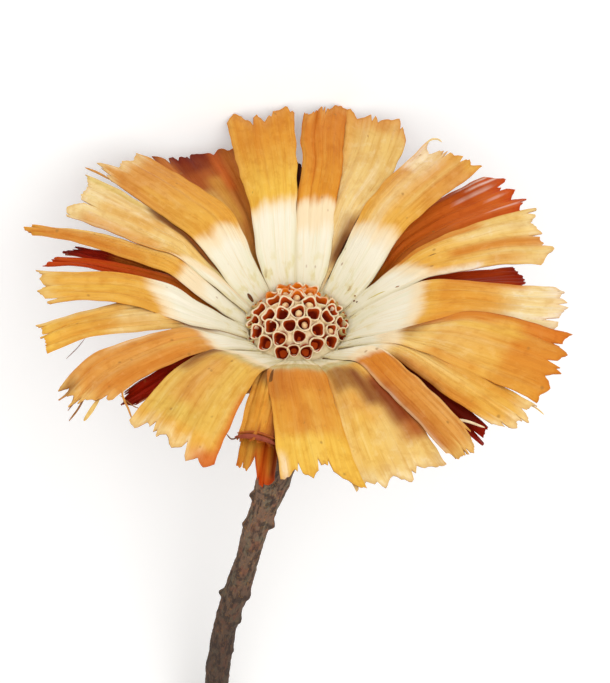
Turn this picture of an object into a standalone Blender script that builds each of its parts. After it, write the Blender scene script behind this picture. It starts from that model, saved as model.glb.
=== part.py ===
"""A dried protea rosette, cut with its stem, lying on a table. Everything is in metres, +Z up.

The flower is modelled in its own frame first: the face of the head looks along +Z and the stem runs
down. Then it is laid down on two low bract tips and the cut end of its stem.
"""

import collections
import math
import random

import bpy
from mathutils import Matrix, Vector

MM = 0.001
SEED = 11

# How a bract runs out from its root, seen in section through the head.
ROOT_RADIUS = 9.2 * MM
RISE = math.radians(38.0)
LAY = math.radians(2.0)
DROOP = math.radians(-12.0)
FOLD_AT = 18.0 * MM
FOLD_SPAN = 7.0 * MM
BRACT_LENGTH = 44.0 * MM
SECTION_STEP = 0.25 * MM
SECTION_LENGTH = 60.0 * MM
BLADE_THICKNESS = 0.8 * MM
SOLVER = "MANIFOLD"
LEVEL_DROP = (1.0 * MM, 2.1 * MM, 3.9 * MM, 5.4 * MM)

# A blade is a grid: fixed distances from the root, then shares of what is left to the cut tip.
FIXED_ROWS = (1.0 * MM, 9.0 * MM, 15.0 * MM, 18.5 * MM, 22.5 * MM)
LAST_ROWS = (0.5, 1.0)
EDGE_STATIONS = (5.0 * MM, 16.0 * MM, 25.0 * MM, 34.0 * MM, 44.0 * MM)
CROWN_FROM = 12.0 * MM
CORNER_FROM = 8.0 * MM
CORNER_GAIN = 2.0

# One row a bract, counter-clockwise from the right of the face: its level, the height of its crown,
# how far the clockwise and the counter-clockwise corner of the tip are bent, the shift of its fold,
# its two edges in degrees at the edge stations, and the distance of the cut tip from the root at even
# places from corner to corner. Lengths are in millimetres.
Bract = collections.namedtuple(
    "Bract", "level crown clockwise_bend counter_bend fold_shift clockwise counter cut")
FRONT_BRACTS = (
    (0, 0.9, 0.0, 0.8, 0.0, (9, 3, 4, 5.5, 7), (24, 22, 24, 24.5, 24.5),
     (40.2, 41.5, 43.5, 41.0, 41.8, 40.8, 41.0, 42.8, 43.8)),
    (0, 1.0, 0.0, 1.2, 0.0, (24, 33, 38, 41, 43.5), (60, 58, 58, 57, 56.5),
     (42.6, 40.6, 41.6, 40.8, 39.2, 39.4, 38.0, 36.4, 37.6, 40.4)),
    (1, 0.8, 0.3, 0.0, 0.0, (62, 59, 58, 60.5, 64), (86, 84, 82, 80, 80),
     (39.8, 43.8, 46.0, 44.4, 43.6, 44.6, 43.8, 43.4, 45.2, 45.4)),
    (0, 0.7, 0.0, 0.6, 0.0, (64, 71, 74, 77, 79), (91, 90, 88, 89, 88),
     (45.2, 46.0, 43.6, 43.6, 43.2, 39.8, 41.6)),
    (0, 0.9, 0.5, 0.0, 0.0, (94, 91.5, 90, 90.5, 91), (117, 112, 110, 108, 106),
     (41.2, 43.0, 42.6, 41.4, 39.2, 41.4, 38.8, 42.2, 43.6, 41.8)),
    (0, 1.0, 0.0, 0.6, -1.0, (126, 124, 126, 127.5, 129), (152, 147.5, 145, 142.5, 140),
     (43.0, 41.5, 40.2, 41.5, 40.5, 45.5, 39.2)),
    (0, 0.8, 0.6, 0.0, 0.0, (154, 152, 146, 144, 143), (162, 162, 161.5, 159, 156),
     (44.4, 42.4, 41.4, 41.6, 39.8, 42.8, 41.8)),
    (1, 0.6, 0.0, 0.4, 0.0, (166, 162, 160, 158, 159), (177, 173, 168, 164.5, 163),
     (45.6, 47.0, 48.4, 46.2)),
    (0, 0.8, 0.0, 0.4, 0.0, (184, 181, 176, 176, 174), (202, 206, 192, 187, 186),
     (43.2, 41.0, 42.0, 40.4, 42.2, 41.2, 40.0)),
    (1, 0.6, 0.0, 0.3, 0.0, (190, 191, 188, 189.5, 190.5), (206, 206, 203, 199, 200),
     (43.0, 42.0, 42.8, 42.2, 42.8)),
    (0, 1.0, 0.5, 0.0, 0.0, (210, 210, 207.5, 206, 211), (226, 227, 222.5, 221, 222),
     (43.4, 45.0, 43.2, 46.6, 43.6, 45.8, 42.6, 41.0, 40.2, 38.6)),
    (0, 1.0, 0.6, 0.0, 0.5, (229, 227, 226, 228, 230.5), (256, 255, 252.5, 252, 252),
     (40.6, 41.2, 39.4, 40.4, 41.4, 40.2, 42.0, 42.2, 41.2, 43.0, 42.2)),
    (1, 0.4, 0.0, 0.0, -1.0, (252, 252, 253, 254, 255), (265, 265, 265, 264, 264),
     (33.5, 32.8, 34.0, 33.0, 34.2)),
    (0, 0.8, 0.8, 0.0, -1.6, (260, 261.5, 263, 264.5, 267), (284, 283, 283, 283, 284),
     (42.5, 40.2, 42.2, 38.8, 42.0, 44.6)),
    (1, 0.7, 0.0, 0.0, -1.0, (282, 282, 282, 281, 282), (301, 301, 301, 301, 300.5),
     (44.0, 42.5, 45.5, 42.8, 45.5, 42.2, 44.5, 44.0)),
    (0, 1.5, 0.0, 0.9, -1.0, (298, 300, 300.5, 302, 303), (314, 314.5, 312.5, 311.5, 311.5),
     (42.8, 45.4, 46.2, 46.6, 44.8, 42.6)),
    (1, 0.5, 0.0, 0.0, 0.0, (313, 313.5, 314, 314.5, 316), (324, 325, 326, 326, 326),
     (42.0, 44.8, 46.6, 45.4, 47.4, 45.4, 45.6, 46.6)),
    (0, 0.8, 0.0, 1.2, 0.0, (320, 319, 322, 324, 326.5), (330, 329, 343.5, 345.5, 344.5),
     (46.2, 45.8, 46.8, 44.8, 47.2, 45.8, 46.8, 44.8, 45.0, 46.2)),
    (0, 0.7, 0.0, 0.2, 0.0, (332, 329, 340, 343, 346), (368, 362, 360, 361, 361.5),
     (41.2, 43.2, 43.0, 43.5, 44.5, 42.5, 43.5, 41.5)),
)

OUTER_BRACTS = (
    (2, 0.4, 0.0, 0.3, 0.0, (4, 0, 0, 2, 3), (12, 10, 8, 9, 9.5), (34.5, 36.5, 36.2, 35.5)),
    (2, 0.6, 0.4, 0.0, 0.0, (20, 24, 27, 28, 28), (42, 43, 44, 44, 44),
     (43.0, 44.0, 43.8, 46.8, 44.0, 46.2, 43.8, 47.0, 44.8, 43.0)),
    (2, 0.4, 0.0, 0.0, 0.0, (60, 60, 62, 64, 65), (74, 74, 74, 74, 74), (25.0, 27.0, 24.5)),
    (2, 0.4, 0.0, 0.0, 0.0, (84, 85, 86, 87, 87), (98, 97, 96, 95, 94), (29.0, 31.5, 30.0)),
    (2, 0.8, 0.3, 0.0, 0.0, (112, 108, 106, 105, 105), (124, 126, 127, 127, 125),
     (36.5, 37.8, 39.0, 37.2, 38.2, 39.8, 38.4, 40.4, 40.2, 42.6)),
    (2, 0.4, 0.0, 0.0, 0.0, (144, 142, 141, 141, 141), (158, 155, 152, 151, 150),
     (28.5, 30.5, 29.0)),
    (3, 0.4, 0.0, 0.0, 0.0, (166, 163, 161, 160, 160), (178, 175, 168, 164, 163),
     (38.0, 40.8, 39.0)),
    (2, 0.4, 0.3, 0.0, 0.0, (170, 168, 166, 164.5, 164), (180, 178, 173, 169, 168),
     (40.5, 41.6, 40.8, 43.0)),
    (2, 0.4, 0.0, 0.0, 0.0, (184, 184, 184, 184, 184), (200, 200, 198, 196, 195),
     (26.0, 27.5, 26.0)),
    (2, 0.5, 0.0, 0.0, 0.0, (218, 218, 218, 219, 220), (230, 229, 227, 224, 223),
     (33.8, 34.6, 33.2, 32.8)),
    (2, 0.4, 0.0, 0.0, -1.0, (250, 251, 253, 255, 256.5), (270, 268, 266, 265, 265),
     (37.6, 36.8, 38.8, 40.4, 39.8)),
    (3, 0.4, 0.0, 0.0, 0.0, (280, 281, 282, 282, 283), (296, 296, 296, 296, 296),
     (33.0, 35.0, 34.0)),
    (2, 0.5, 0.0, 0.0, 0.0, (304, 305, 306, 305.5, 305), (320, 319, 318, 317, 316),
     (43.6, 42.4, 43.4, 39.0, 43.8, 42.2, 42.0)),
    (3, 0.4, 0.0, 0.0, 0.0, (334, 334, 335, 336, 336), (350, 350, 350, 350, 350),
     (36.0, 38.0, 37.0)),
)

# Small brown scales on the underside of the head, in a ring under the outer bracts.
SCALE_COUNT = 15
SCALE_LENGTH = (13.0, 19.0)
SCALE_HALF_WIDTHS = (3.0, 3.8, 2.8, 0.5)
SCALE_SUNK = -1.0
SCALE_WIDEST = 5.0
SCALE_POINT = 4.0
SCALE_EDGE_DROP = 0.4
SCALE_SLOPE = (20.0, 30.0)
SCALE_ROOT = (14.0, -6.6)

# Rings that carry the roots, as sections (radius, height) turned about the face normal.
COLLAR = ((9.1, -1.5), (12.5, 0.6), (13.0, -0.9), (12.0, -5.4), (9.1, -5.4))
OUTER_RING = ((12.7, -4.6), (13.5, -1.6), (15.0, -0.9), (15.4, -2.6), (14.2, -7.6), (12.7, -7.6))
RING_SIDES = 48
COLLAR_ROOT = (9.9 * MM, -4.2 * MM)
OUTER_ROOT = (14.1 * MM, -5.6 * MM)
OUTER_FIRST_ROW = 6.4 * MM

# The floret disc: a low dome with a socket for every floret, and nuts left in a few of them.
DISC_RADIUS = 8.7
DISC_RIM_RADIUS = 9.0
DISC_SHARES = (1.0, 0.85, 0.65, 0.42, 0.2, 0.0)
DISC_TOP = 3.6
DISC_RIM = -1.2
DISC_BOTTOM = -5.4
DISC_SIDES = 42
SOCKETS = (
    (-2.7, -7.6), (-0.6, -7.4), (1.7, -7.6), (3.5, -6.2), (0.4, -5.4), (-3.1, -5.4), (-5.7, -5.3),
    (-1.3, -3.5), (1.3, -3.2), (3.7, -3.8), (-4.6, -2.9), (-7.1, -2.6), (-7.7, -0.2), (-2.6, -1.0),
    (-4.9, -0.5), (0.2, -0.9), (2.9, -0.9), (-2.0, 1.5), (2.2, 1.6), (0.1, 3.3), (-4.0, 3.2),
    (-6.6, 2.2), (5.3, -0.6), (6.2, 1.8), (6.1, -2.8), (7.9, -0.3), (8.0, -2.6), (6.1, -4.9),
    (4.3, 3.5), (2.2, 5.4), (-2.0, 5.4), (0.1, 7.4), (-4.4, 5.6), (4.6, 6.0), (-6.7, 4.7),
    (6.9, 4.2), (-2.5, 7.7), (2.6, 7.6),
)
# Sockets lean outwards more than the dome does. Levels are heights and radii along the axis.
SOCKET_SPREAD = 1.6
SOCKET_SIDES = 6
SOCKET_LEVELS = ((-1.8, 0.5), (0.0, 1.12), (1.2, 1.45))
NUT_SOCKETS = (8, 15, 17, 18, 19, 24)
NUT_SIDES = 6
NUT_LEVELS = ((-2.3, 0.5), (-0.9, 0.5), (-0.5, 0.3))

# Centre line of the stem down from the head, with the radius of the wood at each point.
STEM_PATH = (
    (0.0, 0.0, -5.8, 12.0), (0.0, 0.0, -8.0, 11.8), (-0.2, 0.0, -11.0, 10.0), (-0.6, 0.0, -15.0, 7.2),
    (-1.2, 0.0, -20.0, 5.4), (-2.0, 0.0, -27.0, 4.4), (-3.0, 0.0, -34.0, 3.8),
    (-4.4, 0.0, -42.0, 3.3), (-6.0, 0.0, -49.0, 2.7), (-8.0, 0.0, -57.0, 2.4),
    (-9.8, 0.0, -66.0, 2.25), (-11.6, 0.0, -74.0, 2.5), (-13.4, 0.0, -81.0, 2.35),
    (-14.8, 0.0, -89.0, 2.3), (-15.8, 0.0, -97.0, 2.35), (-16.6, 0.0, -106.0, 2.3),
    (-17.8, 0.0, -116.0, 2.35), (-19.6, 0.0, -127.0, 2.4), (-22.0, 0.0, -139.0, 2.45),
)
STEM_SIDES = 20
# Rows of brown scales that cover the swollen top of the stem: height, radius, count, length, slope.
STEM_SCALES = (
    (-10.6, 9.6, 11, 6.6, 22.0), (-14.2, 7.2, 9, 6.4, 40.0), (-19.0, 5.2, 7, 6.4, 58.0),
)
STEM_SCALE_SEED = SEED + 3
STEM_SCALE_REACH = (0.85, 1.1)
STEM_SCALE_HALF_WIDTHS = (2.3, 2.6, 0.5)
STEM_SCALE_SUNK = -1.6
STEM_SCALE_WIDEST = 0.55
STEM_SCALE_THICKNESS = 0.9 * MM
# Leaf scars and buds: depth under the face, angle round the stem, radius, height.
STEM_KNOBS = (
    (44.0, 200.0, 1.9, 0.9), (48.0, 20.0, 1.5, 0.7), (53.5, 185.0, 1.5, 0.8), (60.0, 300.0, 1.4, 0.6),
    (66.0, 90.0, 1.4, 0.6), (74.5, 178.0, 1.9, 1.3), (75.5, 350.0, 1.6, 0.8), (82.0, 10.0, 1.5, 0.8),
    (88.0, 250.0, 1.4, 0.6), (93.0, 5.0, 1.5, 0.7), (101.0, 190.0, 1.4, 0.6), (110.0, 60.0, 1.5, 0.7),
    (118.0, 280.0, 1.5, 0.7), (127.0, 150.0, 1.6, 0.8),
)
KNOB_SIDES = 8
KNOB_SUNK = -1.5
KNOB_SEAT = 0.8
KNOB_SHOULDER = (0.4, 0.85)
KNOB_TOP = 0.4

# Lying down: the first guess at the lean, and what counts as the two tips and the stem end.
FIRST_LEAN = math.radians(-70.0)
TIP_BEYOND = 40.0 * MM
TIP_SPLIT = -5.0 * MM
STEM_END_BELOW = -138.0 * MM
SETTLE_STEPS = 12

# Colour and roughness of each part.
FINISHES = {
    "front_bracts": ((0.73, 0.42, 0.11, 1.0), 0.55),
    "outer_bracts": ((0.27, 0.035, 0.012, 1.0), 0.35),
    "floret_disc": ((0.76, 0.58, 0.36, 1.0), 0.7),
    "stem": ((0.13, 0.082, 0.06, 1.0), 0.8),
}


def smooth(value):
    value = min(1.0, max(0.0, value))
    return value * value * (3.0 - 2.0 * value)


def bract_section(fold_shift):
    """Radius and height along a bract, at even steps from its root."""
    fold = FOLD_AT + fold_shift * MM
    radius, height = ROOT_RADIUS, 0.0
    section = [(radius, height)]
    for step in range(round(SECTION_LENGTH / SECTION_STEP)):
        distance = (step + 0.5) * SECTION_STEP
        turn = smooth((distance - fold) / FOLD_SPAN + 0.5)
        past = max(0.0, (distance - fold) / (BRACT_LENGTH - fold))
        slope = RISE + (LAY - RISE) * turn + DROOP * past
        radius += math.cos(slope) * SECTION_STEP
        height += math.sin(slope) * SECTION_STEP
        section.append((radius, height))
    return section


def at_distance(section, distance):
    """Radius and height of the section at a distance from the root."""
    first, share = divmod(distance / SECTION_STEP, 1.0)
    here, after = section[int(first)], section[int(first) + 1]
    return [a + (b - a) * share for a, b in zip(here, after)]


def along_edge(angles, distance):
    """The angle of an edge at a distance from the root."""
    if distance <= EDGE_STATIONS[0]:
        return angles[0]
    for near in range(len(EDGE_STATIONS) - 1):
        if distance <= EDGE_STATIONS[near + 1]:
            span = EDGE_STATIONS[near + 1] - EDGE_STATIONS[near]
            share = (distance - EDGE_STATIONS[near]) / span
            return angles[near] + (angles[near + 1] - angles[near]) * share
    return angles[-1]


def around(radius, degrees, height):
    angle = math.radians(degrees)
    return Vector((radius * math.cos(angle), radius * math.sin(angle), height))


def row_distances(tip, first_row):
    """Distances from the root at which a blade has its rows, out to one point of the cut tip."""
    distances = [first_row] + [row for row in FIXED_ROWS if row > first_row]
    last = distances[-1]
    return distances + [last + (tip - last) * share for share in LAST_ROWS]


def bract_grid(bract, root, first_row, side_up):
    """Rows of points on the middle surface of a bract, from the sunk root to the cut tip."""
    section = bract_section(bract.fold_shift)
    columns = []
    for column, tip in enumerate(bract.cut):
        share = column / (len(bract.cut) - 1.0)
        degrees = bract.clockwise[0] + (bract.counter[0] - bract.clockwise[0]) * share
        points = [around(root[0], degrees, root[1])]
        for distance in row_distances(tip * MM, first_row):
            near = along_edge(bract.clockwise, distance)
            degrees = near + (along_edge(bract.counter, distance) - near) * share
            radius, height = at_distance(section, distance)
            arch = bract.crown * 4.0 * share * (1.0 - share) * smooth(distance / CROWN_FROM)
            corner = bract.clockwise_bend * (1.0 - share) + bract.counter_bend * share
            lift = arch + corner * smooth((distance - CORNER_FROM) / BRACT_LENGTH) * CORNER_GAIN
            height += side_up * lift * MM - LEVEL_DROP[bract.level]
            points.append(around(radius, degrees, height))
        columns.append(points)
    return [list(row) for row in zip(*columns)]


def grid_normals(grid):
    normals = []
    for i, points in enumerate(grid):
        line = []
        for j in range(len(points)):
            along = grid[min(i + 1, len(grid) - 1)][j] - grid[max(i - 1, 0)][j]
            across = points[min(j + 1, len(points) - 1)] - points[max(j - 1, 0)]
            line.append(along.cross(across).normalized())
        normals.append(line)
    return normals


def blade(name, grid, thickness):
    """A closed thin solid round a grid of points, cut into triangles alike on both faces."""
    normals = grid_normals(grid)
    rows, columns = len(grid), len(grid[0])
    vertices = []
    for side in (0.5, -0.5):
        for i in range(rows):
            for j in range(columns):
                vertices.append(grid[i][j] + normals[i][j] * thickness * side)
    under = rows * columns
    faces = []
    for i in range(rows - 1):
        for j in range(columns - 1):
            a, b = i * columns + j, i * columns + j + 1
            c, d = (i + 1) * columns + j + 1, (i + 1) * columns + j
            faces += [(a, d, b), (b, d, c)]
            faces += [(under + a, under + b, under + d), (under + b, under + c, under + d)]
    rim = list(range(columns))
    rim += [i * columns + columns - 1 for i in range(1, rows)]
    rim += [(rows - 1) * columns + j for j in range(columns - 2, -1, -1)]
    rim += [i * columns for i in range(rows - 2, 0, -1)]
    for k, first in enumerate(rim):
        second = rim[(k + 1) % len(rim)]
        faces += [(first, second, under + second), (first, under + second, under + first)]
    return solid(name, vertices, faces)


def solid(name, vertices, faces):
    """A mesh object whose faces look outwards."""
    mesh = bpy.data.meshes.new(name)
    mesh.from_pydata([tuple(v) for v in vertices], [], faces)
    mesh.update()
    item = bpy.data.objects.new(name, mesh)
    bpy.context.scene.collection.objects.link(item)
    if signed_volume(mesh) < 0.0:
        mesh.flip_normals()
    return item


def signed_volume(mesh):
    total = 0.0
    for face in mesh.polygons:
        corners = [mesh.vertices[v].co for v in face.vertices]
        for second in range(1, len(corners) - 1):
            total += corners[0].dot(corners[second].cross(corners[second + 1])) / 6.0
    return total


def stacked(name, rings):
    """A closed solid through rings of as many points each, capped at both ends."""
    sides = len(rings[0])
    vertices = [point for ring in rings for point in ring]
    faces = [tuple(range(sides))[::-1]]
    for first in range(0, len(vertices) - sides, sides):
        for side in range(sides):
            after = (side + 1) % sides
            faces.append((first + side, first + after, first + sides + after, first + sides + side))
    faces.append(tuple(range(len(vertices) - sides, len(vertices))))
    return solid(name, vertices, faces)


def turned(name, section, sides):
    """A closed section turned about the face normal; a point on the axis makes a single vertex."""
    vertices, loops, faces = [], [], []
    for radius, height in section:
        if radius == 0.0:
            loops.append([len(vertices)] * sides)
            vertices.append(Vector((0.0, 0.0, height * MM)))
            continue
        loops.append([len(vertices) + side for side in range(sides)])
        vertices += [around(radius * MM, 360.0 * side / sides, height * MM) for side in range(sides)]
    for k, lower in enumerate(loops):
        upper = loops[(k + 1) % len(loops)]
        for side in range(sides):
            after = (side + 1) % sides
            corners = list(dict.fromkeys([lower[side], lower[after], upper[after], upper[side]]))
            if len(corners) > 2:
                faces.append(corners)
    return solid(name, vertices, faces)


def combine(base, others, operation):
    """One Boolean over a collection of helper objects, applied, and the helpers removed."""
    helpers = bpy.data.collections.new(base.name + "_helpers")
    bpy.context.scene.collection.children.link(helpers)
    for other in others:
        bpy.context.scene.collection.objects.unlink(other)
        helpers.objects.link(other)
    cut = base.modifiers.new("fused", "BOOLEAN")
    cut.operation = operation
    cut.operand_type = "COLLECTION"
    cut.collection = helpers
    cut.solver = SOLVER
    bpy.context.view_layer.objects.active = base
    with bpy.context.temp_override(object=base, active_object=base, selected_objects=[base]):
        bpy.ops.object.modifier_apply(modifier=cut.name)
    for other in others:
        bpy.data.objects.remove(other)
    bpy.data.collections.remove(helpers)
    return base


def front_bracts():
    collar = turned("front_bracts", COLLAR, RING_SIDES)
    blades = []
    for number, row in enumerate(FRONT_BRACTS):
        grid = bract_grid(Bract(*row), COLLAR_ROOT, FIXED_ROWS[0], 1.0)
        blades.append(blade("front_%02d" % number, grid, BLADE_THICKNESS))
    return combine(collar, blades, "UNION")


def outer_bracts():
    ring = turned("outer_bracts", OUTER_RING, RING_SIDES)
    blades = []
    for number, row in enumerate(OUTER_BRACTS):
        grid = bract_grid(Bract(*row), OUTER_ROOT, OUTER_FIRST_ROW, -1.0)
        blades.append(blade("outer_%02d" % number, grid, BLADE_THICKNESS))
    return combine(ring, blades + outer_scales(), "UNION")


def scale_blade(name, middle, start, slope, spans, thickness):
    """A short pointed scale: spans are pairs of distance out and half width, in millimetres."""
    grid = []
    for out, half_width in spans:
        radius = start[0] + out * math.cos(slope)
        height = start[1] + out * math.sin(slope)
        points = []
        for share in (-1.0, 0.0, 1.0):
            degrees = middle + math.degrees(share * half_width / radius)
            points.append(around(radius * MM, degrees, (height - SCALE_EDGE_DROP * abs(share)) * MM))
        grid.append(points)
    return blade(name, grid, thickness)


def outer_scales():
    draw = random.Random(SEED)
    scales = []
    for number in range(SCALE_COUNT):
        middle = 360.0 * (number + 0.3 * draw.random()) / SCALE_COUNT
        length = draw.uniform(*SCALE_LENGTH)
        outs = (SCALE_SUNK, SCALE_WIDEST, length - SCALE_POINT, length)
        spans = zip(outs, SCALE_HALF_WIDTHS)
        slope = math.radians(draw.uniform(*SCALE_SLOPE))
        name = "scale_%02d" % number
        scales.append(scale_blade(name, middle, SCALE_ROOT, slope, spans, BLADE_THICKNESS))
    return scales


def stem_scales():
    draw = random.Random(STEM_SCALE_SEED)
    scales = []
    for height, radius, count, length, degrees in STEM_SCALES:
        for number in range(count):
            middle = 360.0 * (number + 0.4 * draw.random()) / count
            reach = length * draw.uniform(*STEM_SCALE_REACH)
            outs = (STEM_SCALE_SUNK, reach * STEM_SCALE_WIDEST, reach)
            spans = zip(outs, STEM_SCALE_HALF_WIDTHS)
            name = "stem_scale_%02d_%02d" % (count, number)
            scales.append(scale_blade(name, middle, (radius, height), math.radians(degrees), spans,
                                      STEM_SCALE_THICKNESS))
    return scales


def dome_height(radius):
    return DISC_TOP + (DISC_RIM - DISC_TOP) * (radius / DISC_RIM_RADIUS) ** 2


def floret_disc():
    """The dome with its sockets cut out and the nuts left in some of them."""
    section = [(0.0, DISC_BOTTOM), (DISC_RADIUS, DISC_BOTTOM)]
    for share in DISC_SHARES:
        section.append((DISC_RADIUS * share, dome_height(DISC_RADIUS * share)))
    dome = turned("floret_disc", section, DISC_SIDES)
    mouths = [beside_axis("socket_%02d" % number, *socket_frame(x, y), SOCKET_LEVELS, SOCKET_SIDES)
              for number, (x, y) in enumerate(SOCKETS)]
    nuts = [beside_axis("nut_%02d" % number, *socket_frame(*SOCKETS[number]), NUT_LEVELS, NUT_SIDES)
            for number in NUT_SOCKETS]
    combine(dome, mouths, "DIFFERENCE")
    return combine(dome, nuts, "UNION")


def socket_frame(x, y):
    """Place of a socket on the dome, and the turn that points its axis out of it."""
    radius = math.hypot(x, y)
    fall = 2.0 * (DISC_TOP - DISC_RIM) / DISC_RIM_RADIUS ** 2 * SOCKET_SPREAD
    axis = Vector((x * fall, y * fall, 1.0))
    place = Vector((x, y, dome_height(radius))) * MM
    return place, axis.to_track_quat("Z", "Y").to_matrix()


def beside_axis(name, place, turn, levels, sides):
    """A closed solid from heights and radii along an axis of its own."""
    rings = []
    for height, radius in levels:
        ring = [around(radius * MM, 360.0 * side / sides, height * MM) for side in range(sides)]
        rings.append([place + turn @ point for point in ring])
    return stacked(name, rings)


def stem():
    """The woody stem, swollen under the head, with its scars, buds and scales fused on."""
    centres = [Vector(row[:3]) * MM for row in STEM_PATH]
    rings = []
    for k, centre in enumerate(centres):
        along = centres[min(k + 1, len(centres) - 1)] - centres[max(k - 1, 0)]
        if k == 0:
            along = Vector((0.0, 0.0, -1.0))
        first = along.cross(Vector((0.0, 1.0, 0.0))).normalized()
        second = along.cross(first).normalized()
        radius = STEM_PATH[k][3] * MM
        ring = []
        for side in range(STEM_SIDES):
            angle = math.tau * side / STEM_SIDES
            ring.append(centre + (first * math.cos(angle) + second * math.sin(angle)) * radius)
        rings.append(ring)
    wood = stacked("stem", rings)
    knobs = [knob(number, *row) for number, row in enumerate(STEM_KNOBS)]
    return combine(wood, knobs + stem_scales(), "UNION")


def stem_place(down):
    """Point, direction and radius of the stem at a depth under the face, in millimetres."""
    for upper, lower in zip(STEM_PATH, STEM_PATH[1:]):
        if -lower[2] >= down:
            share = (down + upper[2]) / (upper[2] - lower[2])
            place = Vector(upper[:3]).lerp(Vector(lower[:3]), share)
            along = (Vector(lower[:3]) - Vector(upper[:3])).normalized()
            return place, along, upper[3] + (lower[3] - upper[3]) * share
    raise ValueError("no stem that far down")


def knob(number, depth, degrees, size, height):
    """A leaf scar or bud, sunk into the wood and square to it."""
    place, along, radius = stem_place(depth)
    out = around(1.0, degrees, 0.0)
    out = (out - along * out.dot(along)).normalized()
    turn = Matrix((out.cross(along).normalized(), -along, out)).transposed()
    shoulder = (height * KNOB_SHOULDER[0], size * KNOB_SHOULDER[1])
    levels = ((KNOB_SUNK, size), shoulder, (height, size * KNOB_TOP))
    place = (place + out * radius * KNOB_SEAT) * MM
    return beside_axis("knob_%02d" % number, place, turn, levels, KNOB_SIDES)


def lying_pose(front, wood):
    """The pose in which two bract tips and the cut stem end touch z = 0."""
    upper = [v.co.copy() for v in front.data.vertices if v.co.y > 0.0]
    tips = [point for point in upper if point.xy.length > TIP_BEYOND]
    groups = (
        [tip for tip in tips if tip.x > TIP_SPLIT],
        [tip for tip in tips if tip.x <= TIP_SPLIT],
        [v.co.copy() for v in wood.data.vertices if v.co.z < STEM_END_BELOW],
    )
    pose = Matrix.Rotation(FIRST_LEAN, 4, "X")
    for _ in range(SETTLE_STEPS):
        lowest = [min(group, key=lambda point: (pose @ point).z) for group in groups]
        right, left, end = [pose @ point for point in lowest]
        up = (right - left).cross(end - left).normalized()
        if up.z < 0.0:
            up.negate()
        level = up.rotation_difference(Vector((0.0, 0.0, 1.0))).to_matrix().to_4x4()
        pose = level @ pose
    height = min((pose @ point).z for group in groups for point in group)
    return Matrix.Translation((0.0, 0.0, -height)) @ pose


def centred(pose, parts):
    """The same pose with the middle of the flower's box over the origin."""
    points = [pose @ v.co for part in parts for v in part.data.vertices]
    middle = [(min(p[k] for p in points) + max(p[k] for p in points)) / 2.0 for k in (0, 1)]
    return Matrix.Translation((-middle[0], -middle[1], 0.0)) @ pose


def coloured(item, finish):
    material = bpy.data.materials.new(item.name)
    material.use_nodes = True
    shader = material.node_tree.nodes["Principled BSDF"]
    colour, roughness = finish
    shader.inputs["Base Color"].default_value = colour
    shader.inputs["Roughness"].default_value = roughness
    shader.inputs["Metallic"].default_value = 0.0
    item.data.materials.clear()
    item.data.materials.append(material)


def main():
    for item in list(bpy.data.objects):
        bpy.data.objects.remove(item)
    parts = [front_bracts(), outer_bracts(), floret_disc(), stem()]
    flower = bpy.data.objects.new("flower", None)
    bpy.context.scene.collection.objects.link(flower)
    flower.matrix_world = centred(lying_pose(parts[0], parts[3]), parts)
    for part in parts:
        part.parent = flower
        coloured(part, FINISHES[part.name])
    bpy.context.view_layer.update()


main()
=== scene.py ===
"""A dried protea rosette lying on its cut stem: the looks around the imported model.

Run as a script. The flower is worked out in its own frame, in millimetres, with the face of the head
along +Z and the stem running down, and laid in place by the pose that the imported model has.
"""

import collections
import math
import random

import bpy
from mathutils import Euler, Matrix, Vector, noise


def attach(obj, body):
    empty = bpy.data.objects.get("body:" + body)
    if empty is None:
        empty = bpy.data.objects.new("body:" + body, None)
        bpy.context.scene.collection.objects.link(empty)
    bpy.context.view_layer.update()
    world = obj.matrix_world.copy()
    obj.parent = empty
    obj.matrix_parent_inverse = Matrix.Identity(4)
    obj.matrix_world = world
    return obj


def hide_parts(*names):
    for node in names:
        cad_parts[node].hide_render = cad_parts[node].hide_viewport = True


bl_info = {
    "name": "Dried protea rosette",
    "version": (1, 0, 0),
    "blender": (4, 5, 0),
    "location": "3D View > Sidebar > Protea",
    "description": "Bracts, floret disc, stem and stage of a dried protea rosette",
    "category": "Object",
}

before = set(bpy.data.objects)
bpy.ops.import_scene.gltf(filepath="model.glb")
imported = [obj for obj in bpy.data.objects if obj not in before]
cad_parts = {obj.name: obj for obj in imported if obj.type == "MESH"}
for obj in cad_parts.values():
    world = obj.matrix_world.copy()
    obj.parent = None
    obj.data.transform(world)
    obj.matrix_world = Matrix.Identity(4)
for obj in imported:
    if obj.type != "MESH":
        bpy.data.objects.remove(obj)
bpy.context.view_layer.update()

MM = 0.001
SEED = 11

# How a bract runs out from its root, in millimetres and degrees, as the solids have it.
ROOT_RADIUS = 9.2
RISE, LAY, DROOP = math.radians(38.0), math.radians(2.0), math.radians(-12.0)
FOLD_AT, FOLD_SPAN, BRACT_LENGTH = 18.0, 7.0, 44.0
SECTION_STEP, SECTION_LENGTH = 0.25, 60.0
LEVEL_DROP = (1.0, 1.7, 3.9, 5.4)
EDGE_STATIONS = (5.0, 16.0, 25.0, 34.0, 44.0)

# Where its crown and the bend of its corners set in, and how long the thinner, curled tip is.
CROWN_FROM, CORNER_FROM, CORNER_GAIN = 12.0, 8.0, 2.0
TIP_LENGTH = 9.0

# Radius and height where bracts are rooted, the distance where their sheets leave the root, and the
# sections of the collar and of the ring under it.
COLLAR_ROOT, COLLAR_FROM = (9.9, -4.2), 0.8
OUTER_ROOT, OUTER_FROM = (14.1, -5.6), 6.4
COLLAR = ((9.05, -5.3), (12.0, -5.3), (13.0, -0.9), (12.5, 0.4), (11.4, 0.0), (10.3, -0.7), (9.05, -1.5))
OUTER_RING = ((12.7, -7.6), (14.2, -7.6), (15.4, -2.6), (15.0, -0.9), (13.5, -1.6), (12.7, -4.6))
RING_SIDES = 120

# The number of the first outer bract, which sets its draws and patterns.
OUTER_FIRST = 30

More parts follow.
